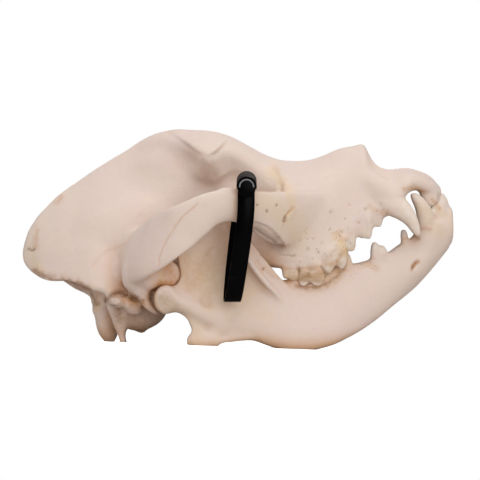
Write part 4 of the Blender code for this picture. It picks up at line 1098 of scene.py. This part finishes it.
# Short lines and single spots, in the order of their use.
SLIT_RIM = ((297, 205), (292, 213), (288, 221))
RECESS_UNDER_CHEEK = ((258, 247), (266, 256), (272, 263))
SLIT_END = ((285.6, 217), (283.8, 221))
SOCKET_FRONT_EDGE = ((272, 172), (284, 186), (291, 200), (291, 214))
CHEEK_TINT = ((262, 204), (276, 208), (296, 234))
SOCKET_FRONT_SPOT = ((276, 168), (281, 180))
FACET_END = ((277, 238), (281, 244))
PROCESS_SHADE = ((205, 160), (212, 158), (218, 152))
SOCKET_REAR = ((190, 152), (200, 158), (208, 168), (212, 180))
CREST_FOOT = ((33, 252), (33, 262), (40, 268))
CREST_SPOT = ((62, 197), (57, 203))
SNOUT_NOTCH = ((404, 189), (410, 188), (417, 188))
INCISOR_ROOT = ((432, 199), (436, 204), (440, 208))
PREMOLAR_ROOT = ((336, 236), (342, 246), (345, 254))
PREMOLAR_SPOT = ((338, 233), (342, 239))
POROUS_CHEEK = ((290, 240), (320, 246), (345, 240))
POROUS_GUM = ((365, 205), (378, 212), (385, 214))
MOLAR_TINT = ((284, 275), (300, 279), (316, 276))
LAST_MOLAR = ((284, 280), (296, 281))
MOLAR_CUSPS = ((303, 284), (318, 283))
MOLAR_FACE = ((310, 277), (319, 281))
MOLAR_PIT = ((309, 279), (313, 281))
MOLAR_FRONT = ((317, 267), (322, 273))
LAST_MOLAR_EDGE = ((284, 281), (294, 279))
MOLAR_TIPS = ((302, 285), (316, 286))
EAR_TINT = ((127, 299), (134, 302), (142, 304))
EAR_EDGE = ((128, 298), (135, 299.5), (142, 301.5))
PROCESS_PIT = ((118.5, 312),)
PROCESS_TINT = ((118, 310), (119, 317))
NECK_KNOB_TINT = ((97, 301), (98.5, 309))
BLADE_SHADE = ((134, 296), (146, 300), (156, 309))
LOBE = ((166, 264), (170, 270), (174, 276))
LOBE_FOOT = ((160, 283), (167, 282.5), (173, 282))
LOBE_REAR = ((160, 271), (160.5, 277), (160, 283))
JOINT_GAP = ((152, 290), (150, 300))
EAR_BULB = ((120, 317), (138, 322), (156, 317))
MASTOID = ((109, 302), (115, 300), (121, 302))
CHIN_FRONT = ((422, 208), (430, 220), (442, 232))
ROLLER_FACE = ((163, 301), (171, 307))
FOSSA = ((222, 230), (215, 245), (208, 264), (196, 280))
FOSSA_REAR = ((187, 262), (185, 275), (190, 288))
FOSSA_FOLD = ((223, 225), (228, 231), (233, 238))
FOSSA_CREASE = ((214, 247), (209, 253), (205, 260))
CHIN_HOLE_FLOOR = ((412, 269.5), (413.4, 266))
FOSSA_FLOOR = ((188, 262), (205, 280), (240, 296))
LOWER_RIDGE = ((205, 306), (240, 309), (270, 318))
FOSSA_PAINTED_SHADOW = ((208, 254), (204, 261), (199, 268))
LOW_PAINTED_SHADE = ((236, 312), (233, 320))
RAMUS_FRONT = ((258, 240), (268, 252), (274, 262))
GUM_REAR = ((258, 262), (268, 272), (284, 280), (300, 288))
GUM_MIDDLE = ((330, 276), (345, 268), (352, 262))
GUM_FRONT = ((366, 262), (375, 268))
CANINE_NECK = ((421, 229), (432, 229.5))
CANINE_FOOT = ((399, 243), (408, 237), (418, 238))
CANINE_SHADE = ((413, 234), (419, 239))
INCISOR_NECK = ((434, 201), (440, 209))
CHIN_EDGE = ((440, 212), (450, 218), (455, 232))
HINGE_NECK = ((160, 300), (172, 306), (190, 320), (196, 340))
POROUS_RIM = ((325, 278), (350, 270), (380, 262))

# How far from the middle plane a mark may lie.
SIDE, OUTER, CHEEK, ARCH_ONLY, LOW, JAW_SIDE = (0, 60), (20, 60), (20, 90), (50, 90), (0, 50), (0, 70)


def carve_cranium(body):
    """The cranium's ridges, rims, pits and stains, and the shade painted into its hollows and onto faces
    that turn down.
    """
    skin = Surface(body)
    skin.carve(TEMPORAL_LINE, 8, 1.0, "ledge", SIDE, 0.5)
    skin.carve(PROCESS_FRONT, 5, 1.1, "ledge", SIDE, 0.3)
    skin.soften(SOCKET_TOP, 5, SIDE)
    skin.soften(CHEEK_FRONT, 8, OUTER)
    skin.carve(SOCKET_ARC, 9, 2.4, "ridge", SIDE, 0.3)
    skin.carve(SOCKET_PIT, 12, 3.8, "ridge", SIDE, 0)
    skin.soften(SOCKET_PIT, 10, SIDE)
    skin.carve(SOCKET_FLOOR, 3, -0.6, "ledge", (18, 70), 0.2)
    skin.carve(TEAR_PIT, 2.6, -1.2, "ridge", SIDE, 0)
    skin.carve(FACE_SLIT, 1.2, -0.9, "ridge", SIDE, 0.4)
    skin.carve(SLIT_RIM, 3, 0.3, "ridge", SIDE, 0.3)
    skin.carve(CHEEK_UNDERSIDE, 3.6, 0.5, "ledge", CHEEK, 0.1)
    skin.carve(FACET_LOW, 7, -2.0, "ridge", (38, 90), 0.15)
    skin.carve(CHEEK_CRACK, 0.9, -0.4, "ridge", OUTER, 0.3)
    skin.stain_and_shade("brown", CHEEK_CRACK, 0.8, 0.4, OUTER, 0.8)
    # Painted shade: orange laid into the recess under the cheekbone.
    skin.stain_and_shade("orange", RECESS_UNDER_CHEEK, 10, 0.35, (0, 48), 0.3)
    skin.carve(CHEEK_SUTURE, 0.9, -0.3, "ridge", ARCH_ONLY, 0.05)
    skin.carve(BACK_CREASE, 1.4, -0.7, "ridge", SIDE, 0.3)
    skin.carve(TEMPLE_SUTURE, 1.2, -0.12, "ridge", SIDE, 0.3)
    for low, high, width, height in JUGA:
        skin.carve((low, high), width, height, "ridge", (15, 60), 0.4)
    for gap in MOLAR_GAPS:
        skin.carve(gap, 1.5, -0.8, "ridge", OUTER, 0.2)
        skin.stain_and_shade("brown", gap, 1.2, 0.55, OUTER, 0.8)
    for n, spot in enumerate(PITS):
        skin.carve((spot,), 0.8 + 0.3 * (n % 3), -0.4, "ridge", SIDE)
        skin.stain_and_shade("orange" if n % 3 == 1 else "brown", (spot,), 0.9 + 0.2 * (n % 3), 0.4, SIDE, 0.9)
    for spot in CHEEK_PITS:
        skin.carve((spot,), 1.3, -0.7, "ridge", CHEEK)
        skin.stain_and_shade("brown", (spot,), 1.2, 0.8, CHEEK)
    skin.stain_and_shade("brown", SLIT_END, 1.2, 0.8, SIDE)
    skin.stain_and_shade("orange", FACE_SLIT, 1.4, 0.5, SIDE)
    skin.stain_and_shade("yellow", SOCKET_FRONT_EDGE, 6, 0.6, SIDE)
    skin.stain_and_shade("yellow", CHEEK_TINT, 16, 0.4, (0, 90))
    skin.stain_and_shade("orange", SOCKET_FRONT_SPOT, 3, 0.3, SIDE)
    # Painted shade in the tear pit.
    skin.stain_and_shade("painted_shade", TEAR_PIT, 2.6, 0.5, SIDE)
    # Painted shade on the cheekbone's underside facet, which faces down.
    skin.stain_and_shade("painted_shade", CHEEK_FACET, 5.5, 0.75, CHEEK, 0.3)
    skin.stain_and_shade("brown", FACET_END, 3.5, 0.35, CHEEK, 0.6)
    skin.stain_and_shade("painted_shade", PROCESS_SHADE, 3, 0.25, SIDE)
    # Painted shade: a faint orange on the shaded rear wall of the eye socket.
    skin.stain_and_shade("orange", SOCKET_REAR, 9, 0.2, SIDE)
    skin.stain_and_shade("orange", CHEEK_SUTURE, 0.9, 0.45, ARCH_ONLY, 0.4)
    skin.stain_and_shade("orange", BACK_EDGE_ORANGE, 2.6, 0.45, SIDE, 0.8)
    skin.stain_and_shade("brown", BACK_CREASE, 1.3, 0.6, SIDE)
    skin.stain_and_shade("yellow", CREST_FOOT, 5, 0.4, SIDE)
    skin.stain_and_shade("orange", CREST_SPOT, 2.6, 0.4, SIDE)
    skin.stain_and_shade("brown", NECK_EDGE, 2.2, 0.6, SIDE, 0.95)
    skin.stain_and_shade("orange", NECK_EDGE, 4.4, 0.35, SIDE, 0.9)
    skin.stain_and_shade("orange", TEMPLE_SUTURE, 1.8, 0.2, SIDE, 0.95)
    skin.stain_and_shade("orange", VAULT_SUTURE, 1.2, 0.1, SIDE, 0.95)
    # Painted shadow: an orange line under the front edge of the upper jaw.
    skin.stain_and_shade("orange", SNOUT_NOTCH, 2.6, 0.6, SIDE)
    skin.stain_and_shade("orange", INCISOR_ROOT, 1.8, 0.7, SIDE)
    skin.stain_and_shade("yellow", PREMOLAR_ROOT, 5, 0.7, SIDE)
    skin.stain_and_shade("orange", PREMOLAR_SPOT, 2.6, 0.5, SIDE)
    skin.stain_and_shade("porous", POROUS_CHEEK, 18, 1.0, SIDE)
    skin.stain_and_shade("porous", POROUS_GUM, 8, 0.9, SIDE)
    skin.stain_and_shade("orange", UPPER_NECKS, 2.0, 0.45, OUTER, 0.9)
    skin.stain_and_shade("yellow", MOLAR_TINT, 6, 0.6, OUTER, 0.9)
    skin.stain_and_shade("orange", LAST_MOLAR, 2.4, 0.55, OUTER)
    skin.stain_and_shade("orange", MOLAR_CUSPS, 3, 0.6, OUTER)
    skin.stain_and_shade("orange", MOLAR_FACE, 5, 0.6, OUTER, 0.7)
    skin.stain_and_shade("brown", MOLAR_PIT, 1.6, 0.4, OUTER, 0.7)
    skin.stain_and_shade("orange", MOLAR_FRONT, 2.2, 0.6, OUTER, 0.6)
    skin.stain_and_shade("brown", LAST_MOLAR_EDGE, 3, 0.4, OUTER, 0.8)
    skin.stain_and_shade("brown", MOLAR_TIPS, 1.8, 0.5, OUTER)
    skin.carve(MASTOID_ARC, 2, -0.8, "ridge", LOW)
    skin.stain_and_shade("brown", MASTOID_ARC, 2.6, 0.8, LOW, 0.6)
    skin.carve(MASTOID_CREASE, 1.2, -0.6, "ridge", LOW)
    skin.stain_and_shade("brown", MASTOID_CREASE, 1.4, 0.4, LOW)
    skin.stain_and_shade("orange", EAR_TINT, 5, 0.9, LOW)
    skin.stain_and_shade("brown", EAR_EDGE, 2.6, 0.7, LOW)
    skin.carve(PROCESS_PIT, 3, -0.8, "ridge", LOW)
    skin.stain_and_shade("brown", PROCESS_TINT, 3.4, 0.55, LOW)
    skin.stain_and_shade("yellow", NECK_KNOB_TINT, 4, 0.5, (0, 40))
    skin.stain_and_shade("painted_shade", BLADE_SHADE, 6, 0.35, OUTER, 0.3)
    skin.stain_and_shade("orange", LOBE, 9, 0.7, SIDE)
    # Painted shadow: orange under the joint's lobe, between it and the jaw's hinge.
    skin.stain_and_shade("orange", LOBE_FOOT, 3, 0.9, OUTER)
    skin.stain_and_shade("yellow", LOBE_REAR, 2.4, 0.7, OUTER)
    # Painted shadow: brown along the lobe's front edge, where it stands off the jaw's branch.
    skin.stain_and_shade("brown", LOBE_EDGE, 1.6, 0.6, OUTER, 0.4)
    # Painted shade: brown in the gap between the blade and the jaw's hinge.
    skin.stain_and_shade("brown", JOINT_GAP, 3, 0.5, LOW)
    # Painted shade on the underside of the ear bulb; the orange over it is the bulb's own tint.
    skin.stain_and_shade("painted_shade", EAR_BULB, 12, 0.7, LOW, 0.2)
    skin.stain_and_shade("orange", EAR_BULB, 12, 0.24, LOW, 0.2)
    # Painted shade on the mastoid knob.
    skin.stain_and_shade("painted_shade", MASTOID, 4, 0.7, LOW, 0.3)
    # Painted shade: orange-brown under the first premolars.
    skin.stain_and_shade("orange", PREMOLAR_PAINTED_SHADE, 2.4, 0.4, SIDE, 0.7)
    skin.crown(GUM_UPPER, -1)
    return skin.finish()


def carve_jaw(body):
    """The lower jaw's ridges, pits and stains, and the shade painted onto its hollow and its hinge."""
    skin = Surface(body)
    skin.carve(FOSSA_RIDGE, 1.7, 0.5, "ridge", JAW_SIDE, 0.2)
    skin.carve(FOSSA_RIM, 8, -0.3, "ledge", JAW_SIDE, 0.3)
    skin.carve(ROLLER_RIM, 1.6, -0.35, "ridge", JAW_SIDE, 0.2)
    skin.carve(CHIN_HOLE, 2.2, -2.0, "ridge", JAW_SIDE, 0.3)
    for spot in JAW_PITS:
        skin.carve((spot,), 1.2, -0.6, "ridge", JAW_SIDE)
        skin.stain_and_shade("brown", (spot,), 1.2, 0.7, JAW_SIDE)
    skin.stain_and_shade("orange", CHIN_HOLE, 1.8, 0.7, JAW_SIDE, 0.3)
    skin.stain_and_shade("yellow", CHIN_FRONT, 8, 0.4, JAW_SIDE, 0.4)
    skin.stain_and_shade("orange", ROLLER_EDGE, 1.2, 0.6, JAW_SIDE)
    # Painted shade on the face of the hinge roller.
    skin.stain_and_shade("painted_shade", ROLLER_FACE, 8, 1.0, JAW_SIDE, 0.3)
    skin.stain_and_shade("orange", FOSSA, 14, 0.36, JAW_SIDE, 0.4)
    skin.stain_and_shade("orange", FOSSA_REAR, 6, 0.4, JAW_SIDE, 0.4)
    skin.carve(FOSSA_FOLD, 2.2, 0.6, "ridge", JAW_SIDE, 0.3)
    skin.carve(FOSSA_CREASE, 3, -0.7, "ridge", JAW_SIDE, 0.3)
    skin.stain_and_shade("brown", CHIN_HOLE_FLOOR, 1.3, 0.7, JAW_SIDE, 0.3)
    skin.stain_and_shade("yellow", FOSSA_FLOOR, 26, 0.5, JAW_SIDE)
    skin.stain_and_shade("yellow", LOWER_RIDGE, 8, 0.4, JAW_SIDE)
    # Painted shadow: a diagonal grey-brown band across the chewing muscle's hollow.
    skin.stain_and_shade("painted_shade", FOSSA_PAINTED_SHADOW, 3.6, 0.3, JAW_SIDE, 0.3)
    # Painted shade low on the jaw's side, below the hollow.
    skin.stain_and_shade("painted_shade", LOW_PAINTED_SHADE, 6, 0.22, JAW_SIDE, 0.4)
    # Painted shade: orange on the jaw's branch beside its front ridge, which lies deeper under the
    # cheekbone.
    skin.stain_and_shade("orange", RAMUS_FRONT, 12, 0.28, JAW_SIDE, 0.3)
    skin.stain_and_shade("orange", GUM_REAR, 4, 0.35, JAW_SIDE, 0.9)
    skin.stain_and_shade("orange", LOWER_NECKS, 2.6, 0.6, JAW_SIDE, 0.95)
    skin.stain_and_shade("brown", LOWER_NECKS, 1.4, 0.45, JAW_SIDE, 0.95)
    skin.stain_and_shade("yellow", GUM_MIDDLE, 7, 0.5, JAW_SIDE, 0.9)
    skin.stain_and_shade("orange", GUM_FRONT, 3.4, 0.4, JAW_SIDE, 0.9)
    skin.stain_and_shade("orange", CANINE_NECK, 1.8, 0.5, JAW_SIDE, 0.6)
    skin.stain_and_shade("orange", CANINE_FOOT, 3, 0.45, JAW_SIDE, 0.8)
    skin.stain_and_shade("brown", CANINE_SHADE, 2.6, 0.45, JAW_SIDE, 0.5)
    skin.stain_and_shade("orange", INCISOR_NECK, 1.8, 0.6, JAW_SIDE, 0.6)
    skin.stain_and_shade("yellow", CHIN_EDGE, 5, 0.4, JAW_SIDE)
    skin.stain_and_shade("yellow", HINGE_NECK, 9, 0.35, JAW_SIDE)
    skin.stain_and_shade("porous", POROUS_RIM, 9, 0.9, JAW_SIDE)
    skin.crown(JAW_TOP, 1)
    return skin.finish()


def build_skull():
    """The cranium's parts and the lower jaw's two halves."""
    parts = cranium_parts(carve_cranium(cranium()))
    bones = {}
    for n, name in enumerate((*parts, "lower_jaw_right", "lower_jaw_left")):
        bones[name] = bone_material("bone_" + name, n)
    jaw = carve_jaw(jaw_half())
    jaw_left = other_side(jaw)
    for name, part in parts.items():
        placed(part, name + "_bone", bones[name], "bone", name)
    placed(jaw, "lower_jaw_right_bone", bones["lower_jaw_right"], "bone", "lower_jaw_right")
    placed(jaw_left, "lower_jaw_left_bone", bones["lower_jaw_left"], "bone", "lower_jaw_left")


def clasp_arc(name, radius, thick, proud):
    """A raised arc over the housing's outer face, proud of it by that much."""
    x, y, _ = CLASP_CENTRE
    stations = []
    for a in np.linspace(-0.1, math.pi + 0.1, 13):
        stations.append((x + radius * math.cos(a), y - CLASP_HALF_DEEP - proud,
                         CLASP_ARC_Z + radius * math.sin(a), thick, thick))
    return limb(name, stations, up=(0, 1, 0), sides=10, steps=2)


def build_tag():
    """The band and its housing, with the face, rim and ring on the housing's outer side; the ring is pale
    grey as a painted highlight.
    """
    x, y, _ = CLASP_CENTRE
    black = plastic_material("band_plastic", BAND_BLACK, 0.28, 0.05)
    # The housing's warm dark grey is its own colour with a painted reflection of the bone in it.
    cap = plastic_material("clasp_plastic", CLASP_BLACK, 0.3, 0.35)
    # Painted highlight: the ring on the housing is pale grey.
    pale = plastic_material("clasp_ring_highlight", RING_HIGHLIGHT_GREY, 0.35, 0.4)
    face = ball("face", (x, y - CLASP_HALF_DEEP + 0.2, CLASP_ARC_Z - 0.4), FACE_RADII)
    placed(tag_band(), "tag_strap", black, "band", "tag_band")
    placed(tag_clasp(), "tag_housing", cap, "clasp", "tag_clasp")
    placed(face, "tag_housing_face", black, "clasp", "tag_clasp")
    placed(clasp_arc("rim", *RIM), "tag_housing_rim", black, "clasp", "tag_clasp")
    placed(clasp_arc("ring", *RING), "tag_housing_ring", pale, "clasp", "tag_clasp")


# The studio. A light is given by its name, place and width in metres, and power in watts.
WORLD_LIGHT, WORLD_SHINE, FLOOR_GLOW = 0.80, 0.08, 0.72
FLOOR_BOUNCE, FLOOR_SEEN = (0.5, 0.46, 0.42), (0.93, 0.93, 0.93)
FLOOR_SIZE, FLOOR_FADE_FROM, FLOOR_FADE_TO = 8, 0.2, 0.6
LIT_SPOT = (0, 0, 0.06)
SENSOR, SIGHT = 36, 20
LIGHTS = (
    ("softbox_above", (-0.1, -0.5, 1.2), 1.1, 2.5),
    ("softbox_front", (0.45, -1.6, 0.35), 1.3, 9),
    ("softbox_behind", (0.0, 1.2, 0.5), 1.4, 2),
)


def build_floor():
    """The pale table, which fades into the white background away from the skull."""
    bpy.ops.mesh.primitive_plane_add(size=FLOOR_SIZE)
    floor = bpy.context.object
    floor.name = "floor"
    paint = Paint("floor_paper")
    spot = paint.tree.nodes.new("ShaderNodeVectorMath")
    spot.operation = "LENGTH"
    paint.link(paint.where, spot.inputs[0])
    far = paint.ranged(spot.outputs["Value"], FLOOR_FADE_FROM, FLOOR_FADE_TO)
    looked_at = paint.tree.nodes.new("ShaderNodeLightPath").outputs["Is Camera Ray"]
    shade = paint.mixed(looked_at, FLOOR_BOUNCE, FLOOR_SEEN)
    glow = paint.ranged(far, 0.0, 1.0, FLOOR_GLOW, 1.0, smooth=False)
    paint.shaded({
        "Base Color": paint.mixed(far, shade, (0.0, 0.0, 0.0)),
        "Emission Color": (1, 1, 1, 1),
        "Emission Strength": paint.math("MULTIPLY", glow, looked_at),
        "Roughness": 1.0,
        "Specular IOR Level": 0.0,
    })
    floor.data.materials.append(paint.material)


def build_world():
    """White surroundings, dimmer as a light and in reflections than to the camera."""
    world = bpy.data.worlds.new("studio")
    bpy.context.scene.world = world
    world.use_nodes = True
    tree = world.node_tree
    air = tree.nodes["Background"]
    air.inputs["Color"].default_value = (1, 1, 1, 1)
    rays = tree.nodes.new("ShaderNodeLightPath")
    strength = WORLD_LIGHT
    for kind, value in (("Is Glossy Ray", WORLD_SHINE), ("Is Camera Ray", 1.0)):
        choice = tree.nodes.new("ShaderNodeMix")
        tree.links.new(rays.outputs[kind], choice.inputs[0])
        if isinstance(strength, float):
            choice.inputs[2].default_value = strength
        else:
            tree.links.new(strength, choice.inputs[2])
        choice.inputs[3].default_value = value
        strength = choice.outputs[0]
    tree.links.new(strength, air.inputs["Strength"])


def build_lights():
    for name, place, size, power in LIGHTS:
        light = bpy.data.lights.new(name, "AREA")
        light.shape = "DISK"
        light.size = size
        light.energy = power
        lamp = new_object(name, light)
        lamp.location = place
        lamp.rotation_euler = (Vector(LIT_SPOT) - Vector(place)).to_track_quat("-Z", "Y").to_euler()


def build_camera():
    """The camera, which sees the skull's right side as the photograph does."""
    camera = bpy.data.cameras.new("camera")
    camera.sensor_width = SENSOR
    camera.lens = SENSOR * EYE_FAR / (PICTURE * PX)
    camera.clip_end = SIGHT
    eye = new_object("camera", camera)
    level = Matrix.Translation((0, -EYE_FAR * MM, EYE_HEIGHT * MM)) @ Matrix.Rotation(math.pi / 2, 4, "X")
    eye.matrix_world = rest_matrix() @ level
    scene = bpy.context.scene
    scene.camera = eye
    scene.view_settings.view_transform = "Standard"


def build_studio():
    """Pale floor, soft lights and the camera."""
    build_floor()
    build_world()
    build_lights()
    build_camera()


def main():
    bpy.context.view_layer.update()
    build_skull()
    build_tag()
    build_studio()


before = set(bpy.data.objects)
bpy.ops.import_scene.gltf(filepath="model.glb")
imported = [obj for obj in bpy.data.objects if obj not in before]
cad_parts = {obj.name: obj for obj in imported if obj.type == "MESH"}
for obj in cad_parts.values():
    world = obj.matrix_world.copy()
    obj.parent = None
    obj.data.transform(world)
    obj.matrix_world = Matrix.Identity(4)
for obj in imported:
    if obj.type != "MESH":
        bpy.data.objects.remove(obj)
main()
